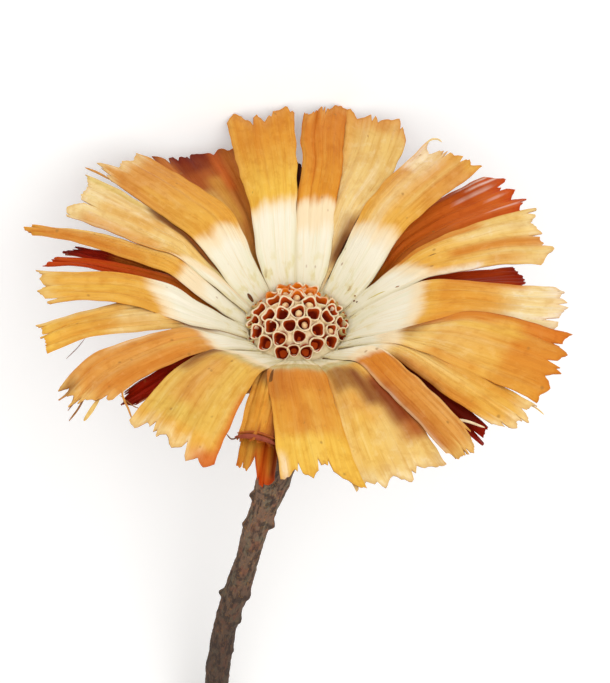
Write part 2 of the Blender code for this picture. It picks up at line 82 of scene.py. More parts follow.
# The dome of the disc and, far under it, where the cut end of the stem begins.
DISC_RADIUS, DISC_RIM_RADIUS, DISC_TOP, DISC_RIM, DISC_BOTTOM = 8.7, 9.0, 3.6, -1.2, -5.4
STEM_END_BELOW = -133.0

# Long ridges across a bract: how many and how high beside the ridge height. Narrow notches in a tip.
RIDGES = ((1.7, 1.5), (3.6, 1.0), (6.3, 0.55), (10.5, 0.3))
NOTCHES, NOTCH_DEPTH = 3, (0.8, 2.6)

# Faces that meet at more than this angle show an edge.
SHARP_ANGLE = math.radians(50.0)

# The backs of all bracts are this rough.
BACK_ROUGHNESS = 0.4

# The width of a peach band is written in a colour's alpha, which holds 0 to 1, in this unit.
PEACH_UNIT = 10.0

# One row a bract, counter-clockwise from the right of the face: its level, the height of its crown,
# how far the clockwise and the counter-clockwise corner of the tip are bent, the shift of its fold,
# its two edges in degrees at the edge stations, and the distance of the cut tip from the root at even
# places from corner to corner.
Bract = collections.namedtuple(
    "Bract", "level crown clockwise_bend counter_bend fold_shift clockwise counter cut")
FRONT_BRACTS = [Bract(*row) for row in (
    (0, 0.9, 0, 0.8, 0, (9, 4, 6, 8, 7.3), (24, 22, 24, 24.5, 24.5),
     (40.2, 41.5, 43.5, 41, 41.8, 40.8, 41, 42.8, 43.8)),
    (0, 1, 0, 1.2, 0, (24, 33, 38, 41, 43.5), (60, 58, 58, 57, 56.5),
     (42.6, 40.6, 41.6, 40.8, 39.2, 39.4, 38, 36.4, 37.6, 40.4)),
    (1, 0.3, 0.3, 0, 0, (62, 59, 58, 60.5, 64), (80, 79, 79, 79, 80),
     (39.8, 43.8, 46, 44.4, 43.6, 44.6, 43.8, 43.4, 45.2, 45.4)),
    (0, 0.7, 0, 0.6, 0, (64, 71, 74, 77, 79), (91, 90, 88, 89, 88),
     (45.2, 46, 43.6, 43.6, 43.2, 39.8, 41.6)),
    (0, 0.9, 0.5, 0, 0, (91.2, 90.3, 90, 90.5, 91), (121, 113, 110, 108, 106),
     (41.2, 43, 42.6, 41.4, 39.2, 41.4, 38.8, 42.2, 43.6, 41.8)),
    (0, 1, 0, 0.6, -1, (122, 121.5, 125, 127.5, 129), (152, 147.5, 145, 142.5, 140),
     (43, 41.5, 40.2, 41.5, 40.5, 45.5, 39.2)),
    (0, 0.8, 0.6, 0, 0, (152.5, 150, 146, 144, 143), (162.5, 162, 161.2, 158.2, 155.2),
     (44.4, 42.4, 41.4, 41.6, 39.8, 42.8, 41.8)),
    (1, 0.6, 0, 0.4, 0, (162, 161, 160.4, 159.2, 160), (179, 173, 168, 164.5, 163),
     (45.6, 47, 48.4, 46.2)),
    (0, 0.8, 0, 0.4, 0, (184, 181, 176, 176, 174), (202, 206, 192, 187, 186),
     (43.2, 41, 42, 40.4, 42.2, 41.2, 40)),
    (1, 0.6, 0, 0.3, 0, (190, 191, 188, 189.5, 190.5), (206, 206, 203, 199, 200),
     (43, 42, 42.8, 42.2, 42.8)),
    (0, 1, 0.5, 0, 0, (210, 210, 207.5, 206, 211), (226, 227, 222.5, 221, 222),
     (43.4, 45, 43.2, 46.6, 43.6, 45.8, 42.6, 41, 40.2, 38.6)),
    (0, 1, 0.6, 0, 0.5, (229, 227, 226, 228, 230.5), (256, 255, 252.5, 252, 252),
     (40.6, 41.2, 39.4, 40.4, 41.4, 40.2, 42, 40.6, 43.2, 41.2, 43.2, 41.6)),
    (1, 0.4, 0, 0, -1, (252, 252, 253, 254, 255), (265, 265, 265, 264, 264), (33.5, 32.8, 34, 33, 34.2)),
    (0, 0.8, 0.8, 0, -1.6, (255.8, 256.2, 261.5, 264.5, 267), (284, 283, 283, 283, 284),
     (42.5, 40.2, 42.2, 38.8, 42, 44.6)),
    (1, 0.7, 0, 0, -1, (282, 282, 282, 281, 282), (301, 301.5, 302.3, 302.8, 302),
     (44, 42.5, 45.5, 42.8, 45.5, 42.2, 44.5, 44)),
    (0, 1.5, 0, 0.9, -1, (298, 300, 300.5, 302, 303), (314, 314, 311.8, 310.2, 309.3),
     (42.8, 45.4, 46.2, 46.6, 44.8, 42.6)),
    (1, 0.5, 0, 0, 0, (313, 313.5, 314, 314.5, 316), (324, 325, 326, 326, 326),
     (42, 44.8, 46.6, 45.4, 47.4, 45.4, 45.6, 46.6)),
    (0, 0.8, 0, 1.2, 0, (320, 319, 322, 324, 326.5), (330, 329, 343.5, 345.5, 344.5),
     (46.2, 45.8, 46.8, 44.8, 47.2, 45.8, 46.8, 44.8, 45, 46.2)),
    (0, 0.7, 0, 0.2, 0, (332, 329, 340, 343, 346), (369, 363, 360, 359.5, 360.2),
     (41.2, 43.2, 43, 43.5, 44.5, 42.5, 43.5, 41.5)),
)]
OUTER_BRACTS = [Bract(*row) for row in (
    (2, 0.4, 0, 1.8, 0, (4, 0, 0, 2, 3), (12, 12, 13, 14.5, 15), (34.5, 37, 37, 36)),
    (2, 0.6, 0.4, 0, 0, (20, 24, 27, 28, 28), (42, 43, 44, 44, 44),
     (43, 44, 43.8, 46.8, 44, 46.2, 43.8, 47, 44.8, 43)),
    (2, 0.4, 0, 0, 0, (60, 60, 62, 64, 65), (74, 74, 74, 74, 74), (25, 27, 24.5)),
    (2, 0.4, 0, 0, 0, (84, 85, 86, 87, 87), (98, 97, 96, 95, 94), (29, 31.5, 30)),
    (2, 0.8, 0.3, 0, 0, (112, 108, 106, 105, 105), (124, 126, 127, 127, 125),
     (36.5, 37.8, 39, 37.2, 38.2, 39.8, 38.4, 40.4, 40.2, 42.6)),
    (1, 0.4, 0, 0, 0, (144, 142, 141, 141, 141), (158, 155, 152, 151, 150), (28.5, 30.5, 29)),
    (3, 0.4, 0, 0, 0, (166, 163, 161, 160, 160), (178, 175, 167.6, 163.4, 162.6), (38, 40.8, 39)),
    (2, 0.4, 0.3, 0, 0, (170, 168, 166.4, 165.4, 165), (180, 178, 173, 169, 168), (40.5, 41.6, 40.8, 43)),
    (2, 0.4, 0, 0, 0, (184, 184, 184, 184, 184), (200, 200, 198, 196, 195), (26, 27.5, 26)),
    (2, 0.5, 0, 0, 0, (218, 218, 218, 219, 220), (230, 229, 227, 224, 223), (34.2, 36, 35.4, 33.6)),
    (2, 0.4, 0, 0, -1, (250, 251, 253, 255, 256.5), (270, 268, 266, 265, 265),
     (37.6, 36.8, 38, 34.4, 39.8, 40.8, 40.4, 39.8)),
    (3, 0.4, 0, 0, 0, (280, 281, 282, 282, 283), (296, 296, 296, 296, 296), (33, 35, 34)),
    (2, 0.5, 0, 0, 0, (304, 305, 306, 305.5, 305), (320, 319, 318, 317, 316),
     (43.6, 42.4, 43.4, 39, 43.8, 42.2, 42)),
    (3, 0.4, 0, 0, 0, (334, 334, 335, 336, 336), (350, 350, 350, 350, 350), (36, 38, 37)),
)]

# How each bract is coloured: where the cream base ends at its clockwise and counter-clockwise edge,
# the width of the peach band there, the colour past it, near the tip and at the teeth, and stripes:
# the middle across the bract, half width, colour, strength, and the distances it runs between. Some
# stripes are painted shade and some painted gloss highlights, as said at their rows.
Look = collections.namedtuple("Look", "clockwise counter peach near far teeth stripes")
FRONT_LOOKS = [Look(*row) for row in (
    (20.5, 12.5, 3, "golden", "straw", "pale_straw", ((0.38, 0.17, "deep_orange", 0.8, 22, 44),
      (0.94, 0.14, "rust", 0.5, 8, 20), (0.02, 0.12, "cream", 0.8, 18, 30),
      (0.1, 0.16, "tan", 0.6, 29, 39), (0.92, 0.16, "deep_orange", 0.85, 9, 33),
      (0.66, 0.12, "pale_straw", 0.6, 24, 48), (0.05, 0.1, "pale_straw", 0.5, 34, 48))),
    (17, 14.5, 2.5, "golden", "tan", "golden", ((0.8, 0.4, "peach", 1, 29, 52),
      (0.3, 0.14, "deep_orange", 0.4, 28, 46), (0.62, 0.28, "pale_straw", 0.5, 14, 42),
      (0.32, 0.1, "straw", 0.6, 20, 46))),
    # The umber and bistre at the root of this bract are painted shade, where it lies low under its
    # neighbours.
    (2, 15, 2, "pale_straw", "straw", "tan", ((0.05, 0.48, "umber", 0.9, 5, 18),
      (0.05, 0.3, "bistre", 0.9, 6, 15), (0.9, 0.2, "orange", 0.55, 20, 48),
      (0.5, 0.8, "tan", 0.7, 38, 52))),
    (18, 15.8, 5, "orange", "deep_orange", "tan", ((0.45, 0.14, "orange", 0.5, 14, 30),
      (0.95, 0.08, "golden", 0.5, 20, 48), (0.7, 0.12, "deep_orange", 0.6, 20, 44))),
    (17, 16.6, 1.6, "yellow", "orange", "tan", ((0.1, 0.13, "orange", 0.5, 24, 48),
      (0.6, 0.12, "deep_orange", 0.3, 26, 40), (0.95, 0.06, "golden", 0.6, 18, 48))),
    (14.2, 16.4, 2.6, "golden", "tan", "pale_straw", ((0.2, 0.24, "orange", 0.6, 14, 32),
      (0.75, 0.15, "golden", 0.5, 18, 34))),
    # The umber and bistre along this bract's clockwise edge are painted shade.
    (4, 19.5, 4, "straw", "pale_straw", "pale_straw", ((0.9, 0.22, "tan", 0.8, 20, 40),
      (0.15, 0.4, "moss_cream", 0.9, 2, 13), (0.05, 0.3, "umber", 0.95, 9, 28),
      (0.02, 0.1, "bistre", 0.9, 10, 30), (0.3, 0.2, "golden", 0.6, 12, 26),
      (0.5, 0.4, "golden", 0.6, 22, 38), (0.06, 0.08, "moss_straw", 0.5, 28, 48))),
    (16, 16.5, 6, "golden", "tan", "golden", ((0.8, 0.25, "deep_orange", 0.6, 22, 50),
      (0.1, 0.25, "straw", 0.85, 16, 46))),
    (22, 20, 2, "golden", "golden", "straw", ((0.15, 0.2, "orange", 0.7, 21, 36),
      (0.6, 0.14, "yellow", 0.5, 24, 46))),
    (20, 16, 6, "straw", "golden", "yellow", ((0.65, 0.3, "tan", 0.85, 13, 21),
      (0.02, 0.2, "pale_straw", 0.6, 28, 50), (0.98, 0.2, "pale_straw", 0.5, 24, 32),
      (0.8, 0.12, "orange", 0.4, 28, 46), (0.6, 0.32, "pale_straw", 0.8, 20, 30),
      (0.35, 0.12, "orange", 0.4, 26, 40))),
    (16.4, 16, 2, "tan", "tan", "straw", ((0.25, 0.25, "umber", 0.9, 40, 52),
      (0.85, 0.2, "deep_orange", 0.7, 18, 42), (0.3, 0.14, "deep_orange", 0.5, 22, 42),
      (0.1, 0.08, "peach", 0.4, 22, 34), (0.6, 0.1, "golden", 0.5, 16, 26))),
    (14.5, 15, 2.4, "golden", "golden", "pale_straw", ((0.5, 2.5, "moss_cream", 0.85, 8, 19),
      (0.4, 0.9, "moss_straw", 0.45, 17, 38), (0.08, 0.24, "umber", 0.95, 13, 27),
      (0.04, 0.14, "bistre", 0.6, 12, 24), (1, 0.1, "flame", 0.8, 24, 48),
      (0.9, 0.28, "flame", 0.9, 38, 54), (0.4, 0.4, "tan", 0.75, 18, 34))),
    # The umber and mahogany at this bract's root are painted shade, where it lies low between its
    # neighbours.
    (14.8, 15, 0.6, "golden", "orange", "rust", ((0.95, 0.36, "rust", 1, 15, 38),
      (0.3, 0.4, "umber", 0.9, 12, 21), (0.65, 0.45, "mahogany", 1, 11, 22),
      (0.12, 0.3, "golden", 0.8, 22, 34), (0.99, 0.1, "mahogany", 0.9, 20, 36))),
    # The rust on its clockwise side is painted shade.
    (9.5, 9.5, 0.8, "deep_orange", "yellow", "yellow", ((0.5, 0.9, "deep_orange", 0.85, 15, 34),
      (0.5, 2.5, "moss_cream", 1, 5, 17), (0.1, 0.5, "rust", 0.45, 14, 25),
      (0.07, 0.1, "peach", 0.85, 35, 47), (0.6, 0.2, "golden", 0.5, 20, 34))),
    # The rust and both maroon stripes are painted shadow cast by the raised bract beside it.
    (10, 10, 1, "golden", "straw", "pale_straw", ((0.5, 2.5, "moss_cream", 1, 5, 17),
      (0.34, 0.5, "umber", 0.95, 14, 24), (0.4, 0.4, "orange", 0.6, 22, 33),
      (0.9, 0.3, "rust", 0.95, 19, 39), (0.84, 0.24, "maroon", 0.7, 20, 35),
      (0.3, 0.3, "yellow", 0.5, 27, 42), (0.62, 0.24, "maroon", 0.8, 16, 29),
      (0.05, 0.12, "tan", 0.6, 15, 24))),
    (15.5, 19.5, 4, "deep_orange", "tan", "straw", ((0.97, 0.07, "straw", 0.4, 15, 48),
      (0.05, 0.3, "rust", 0.65, 22, 44), (0.02, 0.05, "peach", 0.6, 16, 48))),
    (17, 19, 3, "straw", "golden", "pale_straw", ((0.08, 0.28, "deep_orange", 0.75, 19, 40),
      (0.02, 0.16, "umber", 0.7, 19, 33), (0.04, 0.24, "umber", 0.7, 17, 25),
      (0.4, 0.12, "golden", 0.5, 20, 40))),
    # The thin rust line at the counter-clockwise edge, the rust beside it and the umber are painted shadow
    # of the next bract's edge.
    (18.5, 16, 5, "straw", "golden", "orange", ((0.97, 0.13, "deep_orange", 0.9, 16, 48),
      (1, 0.03, "rust", 0.9, 19, 46), (0.93, 0.2, "rust", 0.7, 13, 27), (0.7, 0.6, "umber", 1, 12, 22),
      (0.5, 0.3, "tan", 0.4, 22, 40), (0.92, 0.2, "deep_orange", 0.9, 22, 34),
      (0.08, 0.14, "orange", 0.7, 22, 36), (0.5, 0.8, "deep_orange", 0.9, 35, 54),
      (0.9, 0.2, "flame", 0.5, 36, 50), (0.7, 0.12, "yellow", 0.5, 24, 40))),
    (18.5, 18, 2.6, "golden", "pale_straw", "peach", ((0.5, 0.9, "golden", 0.7, 16, 35),
      (0.5, 1.5, "orange", 0.75, 19, 33), (0.08, 0.2, "deep_orange", 0.5, 20, 31),
      (0.96, 0.2, "deep_orange", 0.95, 20, 38))),
)]
OUTER_LOOKS = [Look(*row) for row in (
    (6, 6, 0, "crimson", "scarlet", "crimson", ((0.5, 0.3, "crimson", 0.6, 20, 44),)),
    (3, 6, 0, "deep_orange", "flame", "scarlet", ((0.5, 0.5, "flame", 0.85, 12, 40),
      (0.15, 0.16, "scarlet", 0.6, 32, 50), (0.9, 0.3, "flame", 0.85, 14, 36),
      (0.25, 0.2, "rust", 0.5, 10, 30), (0.8, 0.3, "crimson", 0.3, 32, 46),
      # These thin white streaks are painted gloss highlights.
      (0.76, 0.035, "painted_gloss", 0.6, 32, 44), (0.86, 0.025, "painted_gloss", 0.8, 36, 48),
      (0.95, 0.03, "painted_gloss", 0.9, 34, 47), (0.3, 0.025, "painted_gloss", 0.6, 36, 46),
      (0.55, 0.02, "painted_gloss", 0.5, 38, 45))),
    (2, 2, 0, "umber", "mahogany", "mahogany", ()),
    (2, 2, 0, "straw", "mahogany", "mahogany", ((0.5, 0.9, "tan", 0.8, 8, 24),)),
    (2, 5, 0, "tan", "rust", "maroon", ((0.76, 0.3, "straw", 0.95, 4, 29),
      (0.03, 0.1, "bistre", 0.9, 4, 26), (0.16, 0.16, "deep_orange", 0.7, 14, 44),
      (0.5, 0.2, "golden", 0.6, 16, 32), (0.62, 0.5, "maroon", 0.75, 32, 50),
      (0.33, 0.12, "flame", 0.7, 24, 42), (0.92, 0.12, "deep_orange", 0.6, 26, 44))),
    (2, 2, 0, "umber", "rust", "maroon", ((0.9, 0.3, "cream", 0.9, 1, 15),)),
    (4, 4, 0, "rust", "crimson", "maroon", ((0.3, 0.6, "deep_orange", 0.7, 16, 32),)),
    # Its thin white streak is a painted gloss highlight.
    (4, 4, 0, "deep_orange", "scarlet", "scarlet", ((0.2, 0.12, "flame", 0.6, 20, 44),
      (0.62, 0.05, "painted_gloss", 0.4, 32, 42))),
    (2, 2, 0, "umber", "mahogany", "mahogany", ()),
    (2, 2, 0, "rust", "crimson", "maroon", ()),
    (10, 10, 0, "golden", "orange", "scarlet", ((0.2, 0.32, "golden", 0.85, 24, 46),
      (0.66, 0.26, "scarlet", 0.8, 28, 46), (0.94, 0.2, "maroon", 0.95, 22, 41),
      (0.94, 0.2, "crimson", 0.8, 38, 46))),
    (2, 2, 0, "umber", "mahogany", "mahogany", ()),
    (2, 2, 0, "mahogany", "maroon", "crimson", ()),
    (2, 2, 0, "umber", "maroon", "mahogany", ()),
)]

# Loose strands, small dark marks, and two lines of painted shade in a crease at a bract's root: radius,
# colour, and the bract, share across it, distance and height of each point on the way.
STRANDS = (
    (0.14, "bistre", ((11, 1, 34.8, 0.3), (12, -0.1, 33.8, 0.2), (12, 0.1, 33.2, 0.4))),
    (0.5, "mauve", ((12, -0.04, 33.1, 0), (12, 0.3, 32.8, 0.6), (12, 0.7, 33, 0.7),
      (12, 1.04, 33.6, 0.3))),
    (0.3, "rust", ((12, 0, 32.3, 0.3), (12, 0.5, 31.8, 0.7), (12, 1, 32.5, 0.4))),
    (0.08, "bistre", ((9, 0.98, 35, 0), (9, 1.22, 37.2, -0.2), (9, 1.36, 39.8, -0.4))),
    (0.2, "tan", ((10, 0.98, 32.5, 0.4), (10, 1.02, 36, 0.3), (11, -0.1, 38.3, 0.2),
      (11, 0.02, 39.8, 0.3))),
    (0.1, "umber", ((10, 1.03, 36.8, 0.2), (11, -0.06, 37.3, 0.5), (11, 0.06, 36.6, 0.6))),
    (0.24, "tan", ((5, 0.95, 40, 0.5), (5, 1, 43.5, 0.7), (5, 1.03, 46.6, 0.9))),
    (0.14, "straw", ((16, 0.94, 44, 0.2), (16, 0.97, 46.4, 0.2), (16, 0.95, 48.2, 0.1))),
    (0.2, "umber", ((10, 0.55, 41.5, 0.1), (10, 0.6, 44, -0.3), (10, 0.66, 46.4, -0.8))),
    (0.12, "umber", ((10, 0.43, 42, 0.1), (10, 0.44, 44, -0.2), (10, 0.48, 45.4, -0.5))),
    (0.45, "straw", ((10, 0.78, 39.5, 0.1), (10, 0.84, 42.5, -0.2), (10, 0.88, 44.6, -0.5))),
    (0.2, "pale_straw", ((1, 0.99, 38.4, 1.4), (1, 0.97, 40.2, 2), (1, 0.88, 41, 2.2),
      (1, 0.78, 40.8, 2.2))),
    (0.26, "peach", ((15, 0.97, 37.5, 0.3), (15, 1.35, 39.4, 0.1), (15, 1.75, 42, -0.5))),
    (0.34, "bistre", ((5, 0.82, 0.7, 0.5), (5, 0.8, 1.6, 0.6), (5, 0.76, 2.6, 0.4))),
    (0.2, "bistre", ((0, 0.9, 2.7, 0.4), (0, 0.88, 3.1, 0.4))),
    (0.22, "bistre", ((0, 0.66, 3.1, 0.4), (0, 0.64, 3.5, 0.4))),
    (0.16, "umber", ((1, 0.06, 3.4, 0.4), (1, 0.06, 3.7, 0.4))),
    # These two lines along the root of bract 0 are painted shade in its crease.
    (0.2, "moss_straw", ((0, 0.36, 3.2, 0.3), (0, 0.3, 5, 0.42), (0, 0.2, 8, 0.55), (0, 0.12, 11.6, 0.5))),
    (0.15, "umber", ((0, 0.12, 11.4, 0.5), (0, 0.1, 12.6, 0.45))),
    (0.2, "umber", ((0, 0.47, 18.8, 1.1), (0, 0.5, 20, 1.15), (0, 0.52, 21.2, 1.15))),
    (0.2, "umber", ((1, 0.53, 23.4, 1.4), (1, 0.55, 23.8, 1.45), (1, 0.57, 24.3, 1.5))),
    (0.24, "rust", ((2, 0.54, 36.2, 0.55), (2, 0.56, 37.2, 0.6), (2, 0.58, 38.2, 0.6))),
)

# Florets on the disc, given one by one, and which of them still hold a pale nut.
SOCKETS = (
    (-2.7, -7.6), (-0.6, -7.4), (1.7, -7.6), (3.5, -6.2), (0.4, -5.4), (-3.1, -5.4), (-5.7, -5.3),
    (-1.3, -3.5), (1.3, -3.2), (3.7, -3.8), (-4.6, -2.9), (-7.1, -2.6), (-7.7, -0.2), (-2.6, -1),
    (-4.9, -0.5), (0.2, -0.9), (2.9, -0.9), (-2, 1.5), (2.2, 1.6), (0.1, 3.3), (-4, 3.2), (-6.6, 2.2),
    (5.3, -0.6), (6.2, 1.8), (6.1, -2.8), (7.9, -0.3), (8, -2.6), (6.1, -4.9), (4.3, 3.5), (2.2, 5.4),
    (-2, 5.4), (0.1, 7.4), (-4.4, 5.6), (6.7, 4), (-2.5, 7.7), (2.6, 7.6),
)
NUT_SOCKETS = (8, 15, 17, 18, 19, 24, 29, 30)

# A cup has size 1 where its three nearest neighbours stand this far off, and stays between two sizes.
CUP_SPACING, SMALLEST_CUP, LARGEST_CUP = 2.28, 0.76, 1.2

# Small cups round the rim of the disc, and the angles between which there are none.
RIM_CUPS = 22
RIM_BARE = (205.0, 335.0)

# A floret cup: radius and height from its axis up the outside, over the lip and down inside, how deep
# inside each of these counts for its colour, which darkens deeper in partly as painted shade, how far it
# stands over the dome, and how far under its place its foot lies, where the dome is sunk. A nut or a
# closed floret in the same way.
CUP = ((0.0, -1.7), (0.95, -1.7), (1.05, -0.7), (1.18, 0.05), (1.27, 0.45), (1.27, 0.68), (1.19, 0.78),
       (1.08, 0.7), (0.99, 0.45), (0.93, -0.05), (0.84, -0.6), (0.6, -1.05), (0.0, -1.2))
CUP_DEPTHS = (0.4, 0.4, 0.3, 0.12, 0.02, 0.0, 0.0, 0.06, 0.3, 0.5, 0.75, 0.95, 1.0)
CUP_HEIGHT = 0.75
CUP_FOOT = 0.8
NUT = ((0.0, -0.62), (0.34, -0.5), (0.56, -0.2), (0.6, 0.08), (0.48, 0.36), (0.26, 0.52), (0.0, 0.57))
DOME_RINGS, DOME_SIDES, CUP_SIDES, NUT_SIDES = 56, 168, 24, 16

# Closed orange florets at the top of the disc: x, y and size.
BUDS = ((0.5, 5.2, 1.5), (-0.7, 6.5, 1.1), (1.2, 6.6, 1.0), (-3.2, 6.8, 1.2), (3.9, 6.9, 0.9))

# Centre line of the stem: how far it stands to the side, depth under the face, radius of the wood.
# Its scars and buds: depth, angle round the stem, radius and height. Its rings of scales: height,
# radius, how many, their length and their slope in degrees.
STEM_PATH = (
    (0, 5.8, 12), (0, 8, 11.8), (-0.2, 11, 10), (-0.6, 15, 7.2), (-1.2, 20, 5.4), (-2, 27, 4.4),
    (-3, 34, 3.8), (-4.4, 42, 3.3), (-6, 49, 2.7), (-8, 57, 2.4), (-9.8, 66, 2.25), (-11.6, 74, 2.5),
    (-13.4, 81, 2.35), (-14.8, 89, 2.3), (-15.8, 97, 2.35), (-16.6, 106, 2.3), (-17.8, 116, 2.35),
    (-19.6, 127, 2.4), (-22, 139, 2.45),
)
STEM_KNOBS = (
    (47.8, 353, 1.6, 0.8), (53.6, 215, 1.7, 1), (56, 353, 1.5, 0.8), (61, 285, 1.4, 0.4),
    (66, 60, 1.4, 0.6), (76.2, 352, 1.4, 1), (75, 212, 2.2, 0.6), (82.3, 213, 2, 0.8),
    (88, 120, 1.4, 0.6), (91.8, 212, 1.6, 0.5), (101, 60, 1.4, 0.5), (110, 300, 1.5, 0.6),
    (118, 140, 1.5, 0.6), (127, 20, 1.6, 0.7),
)
STEM_SCALES = (
    (-10.6, 9.6, 11, 6.6, 22), (-14.2, 7.2, 9, 6.4, 40), (-19, 5.2, 7, 6.4, 58),
)
STEM_RINGS, STEM_SIDES = 380, 72

# The pattern of the bark is wrapped round the stem no wider than this radius.
BARK_REACH = 6.0

# Scales on the back of the head: how many, their length, their slope in degrees, the radius and
# height of their roots, and the angles between which the floor shows through and none stands.
SCALE_COUNT, SCALE_LENGTH, SCALE_SLOPE, SCALE_ROOT = 15, (13.0, 19.0), (20.0, 30.0), (14.0, -6.6)
SCALE_GAP = (236.0, 262.0)

# The camera, in the flower's frame: how steeply it looks on the face and how far off it stands.
CAMERA_STEEPNESS = math.radians(45.0)
CAMERA_DISTANCE = 0.750
CAMERA_LENS = 213.5
CAMERA_SHIFT = (8.0 / 683.0, -19.5 / 683.0)


# Small helpers

def paint(code):
    """A linear colour from its usual six-digit code."""
    parts = [int(code[k:k + 2], 16) / 255.0 for k in (0, 2, 4)]
    return [p / 12.92 if p <= 0.04045 else ((p + 0.055) / 1.055) ** 2.4 for p in parts]


def smooth(value):
    value = min(1.0, max(0.0, value))
    return value * value * (3.0 - 2.0 * value)


def around(radius, degrees, height):
    angle = math.radians(degrees)
    return Vector((radius * math.cos(angle), radius * math.sin(angle), height))


def rough(*place):
    """Even noise between -1 and 1 at a place."""
    return noise.noise(Vector(place))


def through(stations, values, at):
    """A value on the smooth curve through some stations, flat past both ends."""
    if at <= stations[0]:
        return values[0]
    if at >= stations[-1]:
        return values[-1]
    k = max(n for n in range(len(stations) - 1) if stations[n] <= at)
    span = stations[k + 1] - stations[k]

    def slope(n):
        low, high = max(n - 1, 0), min(n + 1, len(stations) - 1)
        return (values[high] - values[low]) / (stations[high] - stations[low])

    t = (at - stations[k]) / span
    first, last = slope(k) * span, slope(k + 1) * span
    rise = values[k + 1] - values[k]
    return values[k] + t * (first + t * (3.0 * rise - 2.0 * first - last
                                         + t * (first + last - 2.0 * rise)))


def flower_pose(nodes):
    """The flower's own frame, read from the flat underside of the disc and the cut end of the stem."""
    disc, wood = nodes["floret_disc"].data, nodes["stem"].data
    under = max(disc.polygons, key=lambda face: face.area)
    up = -under.normal
    level = under.center.dot(up)
    centre = middle_of(v.co for v in disc.vertices if abs(v.co.dot(up) - level) < 0.05 * MM)
    below = (STEM_END_BELOW - DISC_BOTTOM) * MM
    end = middle_of(v.co for v in wood.vertices if (v.co - centre).dot(up) < below)
    side = centre - end
    side = (side - up * side.dot(up)).normalized()
    turn = Matrix((side, up.cross(side), up)).transposed().to_4x4()
    return Matrix.Translation(centre - up * DISC_BOTTOM * MM) @ turn


def middle_of(points):
    """The middle of some points, each place counted once."""
    places = {tuple(round(c, 7) for c in point) for point in points}
    return sum((Vector(place) for place in places), Vector()) / len(places)


POSE = flower_pose(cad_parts)
LAID = POSE @ Matrix.Scale(MM, 4)
UNPLACED = Matrix.Identity(4)


# What a user may change

def colour(name, code, description):
    """A colour setting with its usual six-digit code as the default."""
    return bpy.props.FloatVectorProperty(
        name=name, description=description, subtype="COLOR", size=3, min=0.0, max=1.0,
        default=paint(code))


def amount(name, default, description, **more):
    return bpy.props.FloatProperty(name=name, description=description, default=default, min=0.0, **more)


def length(name, millimetres, description):
    return amount(name, millimetres * MM, description, unit="LENGTH", precision=5)


class ProteaColours(bpy.types.PropertyGroup):
    """Colours of the dried flower and its stage."""
    cream: colour("Cream", "F7EFD9", "Base of the bracts")
    green_cream: colour("Green cream", "E4E1BC", "Base of the bracts beside the disc")
    moss_cream: colour("Moss cream", "CDBB80", "Base of the bracts on the near side")
    peach: colour("Peach", "F6DDB2", "Band where the cream base ends")
    pale_straw: colour("Pale straw", "F2D595", "Lightest dry bract")
    straw: colour("Straw", "EBC371", "Light dry bract")
    moss_straw: colour("Moss straw", "D9C665", "Straw with a green cast")
    yellow: colour("Yellow", "EFBD4B", "Yellow dry bract")
    golden: colour("Golden", "E8AE48", "Golden dry bract")
    tan: colour("Tan", "DE9B48", "Tan dry bract")
    orange: colour("Orange", "E0962F", "Orange dry bract")
    deep_orange: colour("Deep orange", "D78328", "Darkest orange of the face")
    umber: colour("Umber", "A06A32", "Brown shade low between bracts")
    bistre: colour("Bistre", "6E3E1A", "Darkest brown low between bracts")
    rust: colour("Rust", "B05A20", "Red-brown of the backs")
    flame: colour("Flame", "D4661A", "Orange-red outer bract")
    scarlet: colour("Scarlet", "CB4A12", "Bright outer bract")
    crimson: colour("Crimson", "A01E02", "Red outer bract")
    maroon: colour("Maroon", "701602", "Dark red outer bract")
    mahogany: colour("Mahogany", "480E02", "Darkest outer bract")
    mauve: colour("Mauve", "9A4830", "Loose strand under the near bracts")
    # Painted gloss highlight, laid in thin white streaks.
    painted_gloss: colour("Frost", "F2DAD0", "White gloss in thin streaks on the outer bracts")
    lip: colour("Floret lip", "FAE7C4", "Lip of a floret cup")
    ember: colour("Floret wall", "C04A16", "Inner wall of a floret cup")
    hollow: colour("Floret hollow", "701806", "Bottom of a floret cup")
    glow: colour("Glow", "E47A12", "Orange of the florets at the far side of the disc")
    nut: colour("Nut", "EFD09A", "Pale nut left in a cup")
    bark: colour("Bark", "866A56", "Bark of the stem")
    red_bark: colour("Red bark", "94604A", "Warm patches of the bark")
    dark_bark: colour("Dark bark", "41352F", "Dark patches and cracks of the bark")
    lichen: colour("Lichen", "7B7660", "Grey-green patches of the bark")
    floor: colour("Floor", "FBFAF8", "Plain pale floor")


class ProteaSizes(bpy.types.PropertyGroup):
    """Sizes of the fine shapes that stand on the solids."""
    bract_thickness: length("Bract thickness", 0.5, "Thickness of a bract in its middle")
    ridge_height: length("Ridge height", 0.14, "Height of the long ridges on a bract")
    fray: length("Fray", 0.3, "How far the teeth of a cut tip are frayed")
    cup_height: length("Cup height", CUP_HEIGHT, "How far a floret cup stands over the dome")
    bark_depth: length("Bark depth", 0.16, "Depth of the furrows in the bark")
    columns: bpy.props.IntProperty(
        name="Columns", description="Columns of faces across a bract", default=34, min=8, max=80)
    rows: bpy.props.IntProperty(
        name="Rows", description="Rows of faces along a bract", default=44, min=12, max=90)


class ProteaStage(bpy.types.PropertyGroup):
    """Floor and lights."""
    floor_size: length("Floor size", 6000.0, "Width of the floor")
    key_power: amount("Key", 2.5, "Power of the main light", unit="POWER")
    fill_power: amount("Fill", 2.2, "Power of the light at the camera", unit="POWER")
    top_power: amount("Top", 9.5, "Power of the light over the floor", unit="POWER")
    floor_glow: amount("Floor glow", 0.14, "Light that the floor gives off")
    sky: amount("Room light", 0.44, "Strength of the even light all round")


# Node trees as plain arithmetic

